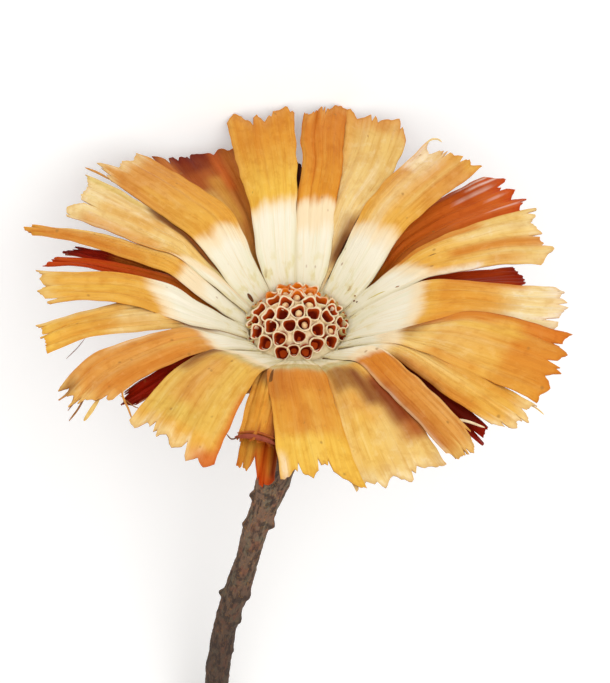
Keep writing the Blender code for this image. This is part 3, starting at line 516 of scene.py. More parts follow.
class Wire:
    """A node's output. Arithmetic on it adds Math nodes."""

    def __init__(self, kit, socket):
        self.kit = kit
        self.socket = socket

    def math(self, operation, *values):
        return self.kit.node("ShaderNodeMath", dict(enumerate(values)), operation=operation)

    def __add__(self, other):
        return self.math("ADD", self, other)

    def __radd__(self, other):
        return self.math("ADD", other, self)

    def __sub__(self, other):
        return self.math("SUBTRACT", self, other)

    def __rsub__(self, other):
        return self.math("SUBTRACT", other, self)

    def __mul__(self, other):
        return self.math("MULTIPLY", self, other)

    def __rmul__(self, other):
        return self.math("MULTIPLY", other, self)

    def ramp(self, low, high):
        """0 under low, 1 over high and smooth between them."""
        return self.kit.node("ShaderNodeMapRange", {"Value": self, "From Min": low, "From Max": high},
                             interpolation_type="SMOOTHSTEP")

    def fall(self, low, high):
        """1 under low, 0 over high and smooth between them."""
        return 1.0 - self.ramp(low, high)


class Kit:
    """Adds nodes to one tree, which may be a material's."""

    def __init__(self, tree, material=None):
        self.tree = tree
        self.material = material

    def node(self, kind, values=None, output=0, **settings):
        """One node: its settings first, then the values or links of its sockets."""
        made = self.tree.nodes.new(kind)
        for name, value in settings.items():
            setattr(made, name, value)
        for key, value in (values or {}).items():
            self.feed(made.inputs[key], value)
        return Wire(self, made.outputs[output])

    def feed(self, socket, value):
        if isinstance(value, Wire):
            self.tree.links.new(value.socket, socket)
        elif socket.type == "RGBA":
            socket.default_value = (*value[:3], 1.0)
        else:
            socket.default_value = value

    def mark(self, name, output):
        return self.node("ShaderNodeAttribute", None, output, attribute_name=name)

    def spot(self):
        return self.node("ShaderNodeTexCoord", None, "Object")

    def split(self, vector):
        made = self.node("ShaderNodeSeparateXYZ", {0: vector}).socket.node
        return [Wire(self, socket) for socket in made.outputs]

    def scaled(self, place, scales, shift=0.0):
        """Three wires joined in one vector, each by its own scale, and moved along the third."""
        x, y, z = [wire * scale for wire, scale in zip(place, scales)]
        return self.node("ShaderNodeCombineXYZ", {0: x, 1: y, 2: z + shift})

    def noise(self, vector, scale, detail, roughness=0.5):
        return self.node("ShaderNodeTexNoise", {
            "Vector": vector, "Scale": scale, "Detail": detail, "Roughness": roughness})

    def grain(self, place, scales, shift=0.0, detail=3.0, roughness=0.5):
        """Noise that is drawn out by scales of its own along three wires."""
        return self.noise(self.scaled(place, scales, shift), 1.0, detail, roughness)

    def mix(self, first, second, share, blend="MIX"):
        """Two colours mixed by a value."""
        return self.node("ShaderNodeMix", {0: share, 6: first, 7: second}, 2,
                         data_type="RGBA", blend_type=blend)

    def layers(self, colour, *coats):
        """A colour with others laid over it in turn, each by its share."""
        for over, share in coats:
            colour = self.mix(colour, over, share)
        return colour

    def bump(self, height, distance, strength):
        return self.node("ShaderNodeBump", {
            "Strength": strength, "Distance": distance, "Height": height}, "Normal")

    def finish(self, **values):
        """Feeds the one shader of the material and gives the material."""
        shader = self.tree.nodes["Principled BSDF"]
        for name, value in values.items():
            self.feed(shader.inputs[name.replace("_", " ")], value)
        return self.material


def material_kit(name):
    material = bpy.data.materials.new(name)
    material.use_nodes = True
    return Kit(material.node_tree, material)


# Finishes

def bract_finish(name, colours, roughness, fade):
    """Dry leathery bract: cream base, veined and streaked face, red-brown back."""
    kit = material_kit(name)
    place = kit.split(kit.mark("place", "Vector"))
    along = place[1]
    past, tip, edge = kit.split(kit.mark("reach", "Vector"))
    tone = kit.mark("tone", "Color")
    peach_width = kit.mark("tone", "Alpha") * PEACH_UNIT

    # The scales run across the bract, along it and from one bract to the next.
    veins = kit.grain(place, (3.6, 0.1, 3.1), detail=2.0)
    streaks = kit.grain(place, (1.1, 0.045, 1.7), 4.0)
    patches = kit.grain(place, (0.3, 0.14, 2.3), 9.0)
    fibres = kit.grain(place, (9.0, 0.4, 1.3), detail=1.0)
    mottle = kit.grain(place, (0.9, 0.45, 2.9), 17.0, 4.0, 0.6)
    fold_shade = kit.grain(place, (0.6, 0.35, 7.0), 3.0)
    sparse = kit.grain(place, (0.5, 0.3, 4.0), detail=1.0).ramp(0.5, 0.6)
    dots = kit.node("ShaderNodeTexVoronoi", {
        "Vector": kit.scaled(place, (0.55, 0.3, 5.0)), "Scale": 1.0}, "Distance")

    # Cream base, greener beside the disc, with faint long lines, a peach band at its end, and painted
    # shade along its edges and in the folds near the root.
    ragged = (streaks - 0.5) * 4.0 + (veins - 0.5) * 2.0 + (patches - 0.5) * 8.0
    base = kit.layers(
        colours.cream,
        (colours.green_cream, along.fall(0.0, 13.0) * 0.4 + streaks.ramp(0.46, 0.7) * 0.35),
        (colours.moss_cream, kit.mark("moss", "Fac") * (0.15 + streaks.ramp(0.4, 0.65) * 0.5)),
        (colours.straw, veins.ramp(0.52, 0.74) * 0.25),
        # Moss cream along the edges of the cream base is painted shade.
        (colours.moss_cream, edge.fall(0.0, 0.7) * 0.4),
        (colours.peach, (past + peach_width + ragged * 0.5).ramp(-2.0, 1.6) * 0.85),
        # Olive in the folds near the root, dark brown in the deepest of them: painted shade.
        (colours.moss_straw, fold_shade.ramp(0.5, 0.66) * along.fall(3.0, 10.0) * 0.45),
        (colours.umber, fold_shade.ramp(0.66, 0.7) * along.fall(2.0, 6.0) * 0.8))

    # The dry face: streaks along the bract, lighter and deeper than its own tone.
    deep = kit.mix(tone, (0.78, 0.56, 0.3), 1.0, "MULTIPLY")
    light = kit.mix(tone, (1.0 + fade * 0.15, 1.0 + fade * 0.6, 1.0 + fade * 2.6), 1.0, "MULTIPLY")
    dry = kit.layers(
        tone,
        (deep, streaks.ramp(0.5, 0.74) * 0.5),
        (light, streaks.fall(0.28, 0.48) * 0.4),
        (deep, patches.ramp(0.5, 0.72) * 0.4),
        (deep, veins.ramp(0.5, 0.75) * 0.4),
        (light, fibres.fall(0.25, 0.45) * 0.2),
        (deep, mottle.ramp(0.52, 0.68) * 0.35),
        (light, mottle.fall(0.32, 0.46) * 0.3),
        (deep, edge.fall(0.05, 0.45) * 0.35 + tip.fall(0.1, 1.1) * 0.4))
    face = kit.layers(
        base,
        (dry, (past + ragged * 0.45).ramp(-1.5, 1.5)),
        (colours.umber, dots.fall(0.04, 0.15) * sparse * 0.6))

    # The back: brown at the root, then rust with dark red streaks.
    rusty = kit.layers(colours.rust, (colours.maroon, streaks.ramp(0.35, 0.65)),
                       (colours.umber, veins.ramp(0.5, 0.7) * 0.5))
    back = kit.mix(colours.umber, rusty, (along + streaks * 8.0).ramp(4.0, 16.0))
    side = kit.mark("inner", "Fac").ramp(0.2, 0.35)
    return kit.finish(
        Base_Color=kit.mix(back, face, side), Specular_IOR_Level=0.1,
        Roughness=BACK_ROUGHNESS + (roughness - BACK_ROUGHNESS) * side + (veins - 0.5) * 0.25,
        Normal=kit.bump(veins * 0.8 + streaks * 0.5 + fibres * 0.3, 0.22 * MM, 0.7))


def floret_finish(name, colours, pale):
    """Cups and dome of the disc: pale lips, glowing walls and dark red bottoms, darker deeper in a cup
    partly as painted shade.
    """
    kit = material_kit(name)
    spot = kit.spot()
    depth = kit.mark("depth", "Fac")
    grain = kit.noise(spot, 900.0, 2.0)
    cloud = kit.noise(spot, 260.0, 2.0)
    x, y, z = kit.split(spot)
    upward = POSE.to_3x3() @ Vector((0.0, 1.0 / MM, 0.0))
    height = x * upward.x + y * upward.y + z * upward.z - POSE.translation.dot(upward)
    glow = (height + (cloud - 0.5) * 4.0).ramp(3.0, 6.5)
    lip = kit.layers(pale, (colours.green_cream, cloud.ramp(0.45, 0.65) * 0.4),
                     (colours.tan, grain.ramp(0.5, 0.75) * 0.4),
                     (colours.glow, glow * cloud.ramp(0.5, 0.55) * 0.9))
    ember = kit.mix(colours.ember, colours.glow, glow * 0.9)
    hollow = kit.mix(colours.hollow, colours.scarlet, glow * 0.85)
    # Lip to wall to hollow darkens deeper in a cup: partly the florets' own red, partly painted shade.
    skin = kit.layers(lip, (ember, (depth + (cloud - 0.5) * 0.25).ramp(0.1, 0.3)),
                      (hollow, (depth + (cloud - 0.5) * 0.4).ramp(0.42, 0.92)))
    return kit.finish(Base_Color=skin, Roughness=0.55 + grain * 0.2, Specular_IOR_Level=0.03,
                      Normal=kit.bump(grain, 0.12 * MM, 0.6))


def nut_finish(name, tone, ember):
    kit = material_kit(name)
    cloud = kit.noise(kit.spot(), 900.0, 3.0)
    return kit.finish(Base_Color=kit.mix(tone, ember, cloud.ramp(0.44, 0.7) * 0.6),
                      Roughness=0.35 + cloud * 0.15, Specular_IOR_Level=0.2)


def bark_finish(colours):
    """Grey-brown bark with warm, green and dark patches and fine long cracks, painted shadow under the
    head, and darker further down.
    """
    kit = material_kit("bark")
    place = kit.split(kit.mark("place", "Vector"))
    along = place[2]
    cracks = kit.grain(place, (1.6, 1.6, 0.28), 0.0, 4.0, 0.65)
    warm = kit.grain(place, (0.6, 0.6, 0.34), 7.0, 4.0)
    green = kit.grain(place, (0.5, 0.5, 0.3), 53.0)
    dark = kit.grain(place, (0.9, 0.9, 0.5), 31.0)
    grit = kit.grain(place, (2.2, 2.2, 1.5), 0.0, 4.0, 0.6)
    skin = kit.layers(
        colours.bark,
        (colours.red_bark, warm.ramp(0.5, 0.64) * 0.75),
        (colours.lichen, green.ramp(0.5, 0.62) * 0.6),
        (colours.dark_bark, dark.ramp(0.48, 0.6) * 0.75),
        (colours.dark_bark, cracks.fall(0.34, 0.5) * 0.8),
        (colours.dark_bark, kit.mark("scar", "Fac") * 0.75),
        (colours.tan, grit.ramp(0.52, 0.68) * 0.3),
        # Painted shadow under the head, then darker towards the cut end.
        (colours.dark_bark, along.fall(34.0, 45.0) * 0.6),
        (colours.dark_bark, along.ramp(45.0, 95.0) * 0.7))
    return kit.finish(Base_Color=skin, Roughness=0.85, Specular_IOR_Level=0.2,
                      Normal=kit.bump(cracks + grit * 0.7, 0.45 * MM, 0.9))


def scale_finish(colours):
    """Brown dry scales with paler edges and fine veins."""
    kit = material_kit("scale_skin")
    place = kit.split(kit.mark("place", "Vector"))
    veins = kit.grain(place, (6.0, 0.6, 3.7), detail=2.0)
    cloud = kit.grain(place, (1.2, 0.8, 2.1), 5.0, 2.0)
    skin = kit.layers(
        colours.maroon,
        (colours.rust, cloud.ramp(0.38, 0.62)),
        (colours.umber, veins.ramp(0.48, 0.7) * 0.6),
        (colours.straw, kit.mark("rim", "Fac") * 0.3))
    return kit.finish(Base_Color=skin, Roughness=0.5 + veins * 0.2, Specular_IOR_Level=0.2,
                      Normal=kit.bump(veins, 0.15 * MM, 0.7))


def thread_finish():
    kit = material_kit("thread")
    cloud = kit.noise(kit.spot(), 900.0, 2.0)
    tone = kit.mark("tone", "Color")
    shade = kit.mix(tone, (0.55, 0.4, 0.3), 1.0, "MULTIPLY")
    return kit.finish(Base_Color=kit.mix(tone, shade, cloud.ramp(0.4, 0.7) * 0.4),
                      Roughness=0.6, Specular_IOR_Level=0.2)


# Objects and meshes

def put(name, data):
    """A new object, linked to the scene."""
    item = bpy.data.objects.new(name, data)
    bpy.context.scene.collection.objects.link(item)
    return item


def new_piece(name, points, faces, marks, place=LAID):
    """A mesh object whose place is in its mesh, with named values at its points."""
    mesh = bpy.data.meshes.new(name)
    mesh.from_pydata([tuple(place @ point) for point in points], [], faces)
    for mark, values in marks.items():
        write_mark(mesh, mark, values)
    mesh.shade_smooth()
    mesh.set_sharp_from_angle(angle=SHARP_ANGLE)
    return put(name, mesh)


def write_mark(mesh, name, values):
    """Values at the points of a mesh: a number, a vector of three or a colour of four each."""
    if isinstance(values[0], float):
        mesh.attributes.new(name, "FLOAT", "POINT").data.foreach_set("value", values)
        return
    kind, field = {3: ("FLOAT_VECTOR", "vector"), 4: ("FLOAT_COLOR", "color")}[len(values[0])]
    flat = [part for value in values for part in value]
    mesh.attributes.new(name, kind, "POINT").data.foreach_set(field, flat)


def finish_piece(item, material, node):
    """Gives a finished piece its material, hangs it under the root body and hides the solid it stands for.
    """
    item.data.materials.clear()
    item.data.materials.append(material)
    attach(item, "root")
    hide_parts(node)


def loop_faces(loops):
    """Faces between each loop of points and the next. A loop that repeats one point closes in a fan."""
    faces = []
    for lower, upper in zip(loops, loops[1:]):
        for side in range(len(lower)):
            after = (side + 1) % len(lower)
            faces.append(tuple(dict.fromkeys((lower[side], lower[after], upper[after], upper[side]))))
    return faces


def sheet_faces(rows, columns, first=0):
    """Faces of a closed sheet: a grid of points, the same grid again under it, and the rim."""
    count = rows * columns
    faces = []
    for row in range(rows - 1):
        for column in range(columns - 1):
            a = first + row * columns + column
            face = (a, a + columns, a + columns + 1, a + 1)
            faces += [face, tuple(v + count for v in reversed(face))]
    rim = [row * columns for row in range(rows)]
    rim += [count - columns + column for column in range(1, columns)]
    rim += [row * columns + columns - 1 for row in range(rows - 2, -1, -1)]
    rim += range(columns - 2, 0, -1)
    rim = [first + place for place in rim]
    return faces + [(after, here, here + count, after + count)
                    for here, after in zip(rim, rim[1:] + rim[:1])]


def grid_normals(grid):
    normals = []
    for i, points in enumerate(grid):
        line = []
        for j in range(len(points)):
            along = grid[min(i + 1, len(grid) - 1)][j] - grid[max(i - 1, 0)][j]
            across = points[min(j + 1, len(points) - 1)] - points[max(j - 1, 0)]
            line.append(along.cross(across).normalized())
        normals.append(line)
    return normals


def turned_points(section, sides, lobes=0.0, rise=0.0):
    """Points and faces of a section turned about Z, three-lobed where asked; ends on the axis close."""
    points, loops = [], []
    for radius, height in section:
        if radius == 0.0:
            loops.append([len(points)] * sides)
            points.append(Vector((0.0, 0.0, height)))
            continue
        loops.append(range(len(points), len(points) + sides))
        for side in range(sides):
            lobe = math.cos(3.0 * math.tau * side / sides)
            points.append(around(radius * (1.0 + lobes * lobe), 360.0 * side / sides,
                                 height + rise * lobe * smooth(height + 0.6)))
    return points, loop_faces(loops)


def ring_values(section, values, sides):
    """A value for every point that turned_points makes from a section."""
    spread = []
    for (radius, _), value in zip(section, values):
        spread += [value] * (1 if radius == 0.0 else sides)
    return spread


class Skin:
    """Points and faces of closed thin sheets and rings, with what their material reads."""

    def __init__(self):
        self.points = []
        self.faces = []
        self.marks = {"place": [], "reach": [], "tone": [], "moss": [], "inner": []}

    def add_point(self, point, facts, inner):
        self.points.append(point)
        for values, value in zip(self.marks.values(), (*facts, inner)):
            values.append(value)

    def sheet(self, cells):
        """A sheet from rows of cells that run outwards, their columns counter-clockwise.

        A cell is a point of the middle surface, the thickness there and what the material reads.
        """
        normals = grid_normals([[cell[0] for cell in row] for row in cells])
        self.faces += sheet_faces(len(cells), len(cells[0]), len(self.points))
        for side, inner in ((0.5, 1.0), (-0.5, 0.0)):
            for row, line in zip(cells, normals):
                for (point, thickness, facts), normal in zip(row, line):
                    self.add_point(point + normal * thickness * side, facts, inner)

    def ring(self, section, tone, inner):
        """A closed section turned about the face normal."""
        loops = []
        for k, (radius, height) in enumerate(section):
            loops.append(range(len(self.points), len(self.points) + RING_SIDES))
            for side in range(RING_SIDES):
                degrees = 360.0 * side / RING_SIDES
                point = around(radius + 0.12 * rough(side * 0.9, k * 0.7, 3.0), degrees, height)
                place = (math.radians(degrees) * 11.0, radius - ROOT_RADIUS, 60.0)
                self.add_point(point, (place, (-12.0, 30.0, 5.0), (*tone, 0.0), mossy(degrees)), inner[k])
        self.faces += loop_faces(loops + loops[:1])


def mossy(degrees):
    """How green the cream is at an angle round the face: only on the near side."""
    return smooth((-0.7 - math.sin(math.radians(degrees))) / 0.3)


# Bracts

def bract_section(fold_shift):
    """Radius and height along a bract, at even steps from its root."""
    fold = FOLD_AT + fold_shift
    radius, height = ROOT_RADIUS, 0.0
    section = [(radius, height)]
    for step in range(round(SECTION_LENGTH / SECTION_STEP)):
        distance = (step + 0.5) * SECTION_STEP
        turn = smooth((distance - fold) / FOLD_SPAN + 0.5)
        past = max(0.0, (distance - fold) / (BRACT_LENGTH - fold))
        slope = RISE + (LAY - RISE) * turn + DROOP * past
        radius += math.cos(slope) * SECTION_STEP
        height += math.sin(slope) * SECTION_STEP
        section.append((radius, height))
    return section


def blend(first, second, share):
    return [a + (b - a) * share for a, b in zip(first, second)]


def at_distance(section, distance):
    first, share = divmod(distance / SECTION_STEP, 1.0)
    return blend(section[int(first)], section[int(first) + 1], share)


def tint(look, share, distance, tip, colours):
    """The tone of a bract at a place, with its peach band, and how far past the cream base it is."""
    cream_end = look.clockwise + (look.counter - look.clockwise) * share
    out = (distance - cream_end) / max(tip - cream_end, 1.0)
    tone = blend(getattr(colours, look.near), getattr(colours, look.far), smooth(out * 1.3))
    tone = blend(tone, getattr(colours, look.teeth), 0.8 * smooth(1.0 - (tip - distance) / 4.0))
    for middle, half, name, strength, start, end in look.stripes:
        beside = smooth(1.0 - abs(share - middle) / half)
        within = smooth((distance - start) / 3.0) * smooth((end - distance) / 3.0)
        tone = blend(tone, getattr(colours, name), strength * beside * within)
    return (*tone, look.peach / PEACH_UNIT), distance - cream_end


def frayed_cut(cut, columns, fray, draw):
    """Tip distance of every fine column: the teeth of the cut, frayed, with a few narrow notches."""
    per_tooth = max(2, round(columns / (len(cut) - 1)))
    tips = []
    for first, second in zip(cut, cut[1:]):
        tips += [first + (second - first) * k / per_tooth for k in range(per_tooth)]
    tips = [tip + draw.uniform(-fray, fray * 0.5) for tip in tips + [cut[-1]]]
    for _ in range(NOTCHES):
        notch = draw.randrange(2, len(tips) - 2)
        tips[notch] -= draw.uniform(*NOTCH_DEPTH)
    return tips


def on_bract(bract, section, share, distance, lift, wander=0.0):
    """A point over the middle surface of a bract, and the bract's width there."""
    near = through(EDGE_STATIONS, bract.clockwise, distance)
    far = through(EDGE_STATIONS, bract.counter, distance)
    radius, height = at_distance(section, distance)
    degrees = near + (far - near) * share + math.degrees(wander / radius)
    point = around(radius, degrees, height + lift - LEVEL_DROP[bract.level])
    return point, math.radians(far - near) * radius


def add_bract(skin, bract, look, number, root, first, side_up, scene):
    """One bract as a fine sheet on the same surface as its solid blade."""
    sizes, colours = scene.protea_sizes, scene.protea_colours
    draw = random.Random(SEED * 100 + number)
    section = bract_section(bract.fold_shift)
    ridges = [(count + draw.uniform(-0.3, 0.3), height, draw.random()) for count, height in RIDGES]
    ridge_height = sizes.ridge_height / MM
    full = sizes.bract_thickness / MM
    tips = frayed_cut(bract.cut, sizes.columns, sizes.fray / MM, draw)
    low = 0.6 * min(tips)
    low_rows = round(sizes.rows * 0.55)
    last_rows = sizes.rows - low_rows
    width = abs(math.radians(bract.counter[2] - bract.clockwise[2])) * EDGE_STATIONS[2]
    moss = mossy(0.5 * (bract.clockwise[0] + bract.counter[0]))
    columns = []
    for column, tip in enumerate(tips):
        share = column / (len(tips) - 1.0)
        distances = [first + (low - first) * k / low_rows for k in range(low_rows)]
        distances += [low + (tip - low) * k / last_rows for k in range(last_rows + 1)]
        start = bract.clockwise[0] + (bract.counter[0] - bract.clockwise[0]) * share
        facts = ((share * width, -3.0, number), (-15.0, 40.0, 3.0), (*colours.green_cream, 0.0), moss)
        line = [(around(root[0], start, root[1]), full, facts)]
        for distance in distances:
            beside = (2.0 * share - 1.0) ** 4
            wander = 0.3 * beside * rough(distance * 0.3, number * 1.7, round(share) * 9.0)
            tipness = smooth((distance - tip) / TIP_LENGTH + 1.0)
            arch = bract.crown * 4.0 * share * (1.0 - share) * smooth(distance / CROWN_FROM)
            corner = bract.clockwise_bend * (1.0 - share) + bract.counter_bend * share
            lift = arch + corner * smooth((distance - CORNER_FROM) / BRACT_LENGTH) * CORNER_GAIN
            lift += ridge_height * smooth((distance - 5.0) / 16.0) * sum(
                part * math.cos(math.tau * (count * share + shift)) for count, part, shift in ridges)
            lift += 0.4 * rough(distance * 0.11, share * 1.6, number * 2.7) * smooth(distance / 16.0)
            lift += rough(share * 6.0, number * 1.9, 3.0) * tipness * tipness
            point, span = on_bract(bract, section, share, distance, side_up * lift, wander)
            edge = min(share, 1.0 - share) * span
            tone, past = tint(look, share, distance, tip, colours)
            facts = ((share * width, distance, number), (past, tip - distance, edge), tone, moss)
            line.append((point, full * (1.0 - 0.4 * tipness) * (1.0 - 0.35 * beside), facts))
        columns.append(line)
    skin.sheet(list(zip(*columns)))


class PROTEA_OT_front_bracts(bpy.types.Operator):
    """Make the bracts of the face and the collar that they grow from"""
    bl_idname = "protea.front_bracts"
    bl_label = "Front bracts"

    def execute(self, context):
        colours = context.scene.protea_colours
        skin = Skin()
        for number, (bract, look) in enumerate(zip(FRONT_BRACTS, FRONT_LOOKS)):
            add_bract(skin, bract, look, number, COLLAR_ROOT, COLLAR_FROM, 1.0, context.scene)
        skin.ring(COLLAR, colours.green_cream, (0.0, 0.0, 0.0, 1.0, 1.0, 1.0, 1.0))
        piece = new_piece("face_bracts", skin.points, skin.faces, skin.marks)
        finish_piece(piece, bract_finish("bract_skin", colours, 0.55, 0.5), "front_bracts")
        return {"FINISHED"}


class PROTEA_OT_outer_bracts(bpy.types.Operator):
    """Make the dark outer bracts and the ring under the collar"""
    bl_idname = "protea.outer_bracts"
    bl_label = "Outer bracts"

    def execute(self, context):
        colours = context.scene.protea_colours
        skin = Skin()
        for number, (bract, look) in enumerate(zip(OUTER_BRACTS, OUTER_LOOKS), OUTER_FIRST):
            add_bract(skin, bract, look, number, OUTER_ROOT, OUTER_FROM, -1.0, context.scene)
        skin.ring(OUTER_RING, colours.maroon, (0.0,) * len(OUTER_RING))
        piece = new_piece("back_bracts", skin.points, skin.faces, skin.marks)
        finish_piece(piece, bract_finish("outer_bract_skin", colours, 0.5, 0.12), "outer_bracts")
        return {"FINISHED"}


# Threads

def swept(points, faces, path, radius):
    """A thin closed strand along a smooth path, pointed at both ends."""
    sides, steps = 6, 8 * (len(path) - 1)
    stations = range(len(path))
    line = [Vector([through(stations, values, k * stations[-1] / steps) for values in zip(*path)])
            for k in range(steps + 1)]
    loops = []
    for k, centre in enumerate(line):
        along = (line[min(k + 1, steps)] - line[max(k - 1, 0)]).normalized()
        over = along.cross(Vector((0.3, 0.5, 0.8))).normalized()
        beside = along.cross(over)
        reach = radius * (0.25 + 0.75 * math.sin(math.pi * k / steps) ** 0.5)
        loops.append(range(len(points), len(points) + sides))
        for side in range(sides):
            turn = math.tau * side / sides
            points.append(centre + (over * math.cos(turn) + beside * math.sin(turn)) * reach)
    faces += [*loop_faces(loops), tuple(reversed(loops[0])), tuple(loops[-1])]


class PROTEA_OT_threads(bpy.types.Operator):
    """Make the loose strands, torn fibres, small dark marks and painted crease shade of the face"""
    bl_idname = "protea.threads"
    bl_label = "Threads"

    def execute(self, context):
        colours = context.scene.protea_colours
        points, faces, tones = [], [], []
        for radius, tone, route in STRANDS:
            path = []
            for number, share, distance, lift in route:
                bract = FRONT_BRACTS[number]
                path.append(on_bract(bract, bract_section(bract.fold_shift), share, distance, lift)[0])
            swept(points, faces, path, radius)
            tones += [(*getattr(colours, tone), 1.0)] * (len(points) - len(tones))
        finish_piece(new_piece("threads", points, faces, {"tone": tones}), thread_finish(), "front_bracts")
        return {"FINISHED"}


# Parts that repeat

def scatter_tree():
    """A tree that puts a part on every point, turned and sized as the point says."""
    tree = bpy.data.node_groups.new("scatter", "GeometryNodeTree")
    for name, kind in (("Points", "Geometry"), ("Part", "Object"), ("Unevenness", "Float"),
                       ("Seed", "Int"), ("Finish", "Material")):
        tree.interface.new_socket(name, in_out="INPUT", socket_type="NodeSocket" + kind)
    tree.interface.new_socket("Mesh", in_out="OUTPUT", socket_type="NodeSocketGeometry")
    kit = Kit(tree)
    entry = tree.nodes.new("NodeGroupInput")
    given = {socket.name: Wire(kit, socket) for socket in entry.outputs if socket.name}
    part = kit.node("GeometryNodeObjectInfo", {"Object": given["Part"], "As Instance": True}, "Geometry",
                    transform_space="ORIGINAL")
    turn, size = [kit.node("GeometryNodeInputNamedAttribute", {"Name": name}, "Attribute",
                           data_type="FLOAT_VECTOR") for name in ("turn", "size")]
    lowest, highest = 1.0 - given["Unevenness"], 1.0 + given["Unevenness"]
    uneven = kit.node("FunctionNodeRandomValue", {2: lowest, 3: highest, 8: given["Seed"]}, 1,
                      data_type="FLOAT")
    placed = kit.node("GeometryNodeInstanceOnPoints", {
        "Points": given["Points"], "Instance": part,
        "Rotation": kit.node("FunctionNodeEulerToRotation", {0: turn}),
        "Scale": kit.node("ShaderNodeVectorMath", {0: size, 3: uneven}, operation="SCALE")})
    real = kit.node("GeometryNodeRealizeInstances", {0: placed})
    done = kit.node("GeometryNodeSetMaterial", {"Geometry": real, "Material": given["Finish"]})
    kit.feed(tree.nodes.new("NodeGroupOutput").inputs[0], done)
    return tree


def scattered(name, part, spots, material, node, unevenness, seed):
    """A part repeated over spots as one plain mesh. A spot is its point, turn and size."""
    places, turns, sizes = zip(*spots)
    host = new_piece(name + "_points", places, [], {"turn": turns, "size": sizes}, UNPLACED)
    tree = scatter_tree()
    repeat = host.modifiers.new("scatter", "NODES")
    repeat.node_group = tree
    keys = {item.name: item.identifier for item in tree.interface.items_tree}
    for given, value in (("Part", part), ("Unevenness", unevenness), ("Seed", seed), ("Finish", material)):
        repeat[keys[given]] = value
    seen = host.evaluated_get(bpy.context.evaluated_depsgraph_get())
    mesh = bpy.data.meshes.new_from_object(seen)
    for item in (host, part):
        bpy.data.objects.remove(item)
    bpy.data.node_groups.remove(tree)
    mesh.name = name
    mesh.transform(LAID)
    for mark in ("turn", "size"):
        mesh.attributes.remove(mesh.attributes[mark])
    finish_piece(put(name, mesh), material, node)


# Floret disc

def dome_height(radius):
    return DISC_TOP + (DISC_RIM - DISC_TOP) * (radius / DISC_RIM_RADIUS) ** 2


def spun(angle):
    return Euler((0.0, 0.0, angle)).to_quaternion()


def floret_spots():
    """Place, axis and size of every floret cup: neighbours set how wide a cup is."""
    spots = []
    fall = 2.0 * (DISC_TOP - DISC_RIM) / DISC_RIM_RADIUS ** 2
    for x, y in SOCKETS:
        near = sorted(math.hypot(x - u, y - v) for u, v in SOCKETS if (u, v) != (x, y))[:3]
        size = min(LARGEST_CUP, max(SMALLEST_CUP, sum(near) / 3.0 / CUP_SPACING))
        stand = 1.1 * smooth((y - 4.5) / 3.0)
        place = Vector((x, y, dome_height(math.hypot(x, y)) - 0.3 + stand))
        axis = Vector((x * fall * 0.9, y * fall * 0.9 - 0.28, 1.0))
        spots.append((place, axis.to_track_quat("Z", "Y"), size))
    return spots


def rim_spots():
    """Small half-closed cups that crowd the rim of the disc."""
    draw = random.Random(SEED + 5)
    spots = []
    for number in range(RIM_CUPS):
        degrees = 360.0 * (number + 0.5 * draw.random()) / RIM_CUPS
        radius = draw.uniform(8.6, 9.2)
        if RIM_BARE[0] < degrees < RIM_BARE[1]:
            continue
        place = around(radius, degrees, dome_height(radius) - 0.1 + 0.5 * draw.random())
        out = around(1.0, degrees, draw.uniform(0.9, 1.6))
        turn = out.to_track_quat("Z", "Y") @ spun(draw.uniform(-0.4, 0.4))
        size = (draw.uniform(0.4, 0.55), draw.uniform(0.55, 0.7), draw.uniform(0.7, 0.9))
        spots.append((place, turn.to_euler(), size))
    return spots


def disc_dome(spots):
    """The dome between the cups, sunk where a cup stands, with its flat underside."""
    under = ((0.0, DISC_BOTTOM), (7.0, DISC_BOTTOM), (8.7, DISC_BOTTOM), (8.85, DISC_RIM - 1.6))
    radii = [DISC_RADIUS * k / DOME_RINGS for k in range(DOME_RINGS, -1, -1)]
    points, faces = turned_points([*under, *((radius, dome_height(radius)) for radius in radii)],
                                  DOME_SIDES)
    feet = [(place + turn @ Vector((0.0, 0.0, -CUP_FOOT * size)), size) for place, turn, size in spots]
    flat = 1 + 3 * DOME_SIDES
    depths = [0.0] * flat
    for point in points[flat:]:
        deepest = max(smooth((1.16 - math.hypot(point.x - foot.x, point.y - foot.y) / size) / 0.3)
                      for foot, size in feet)
        point.z += 0.1 * rough(point.x * 1.7, point.y * 1.7, 0.0) - 0.45 - 1.2 * deepest
        # The sunk ring round each cup takes some of the wall colour: partly painted shade.
        depths.append(deepest * 0.4)
    return points, faces, depths


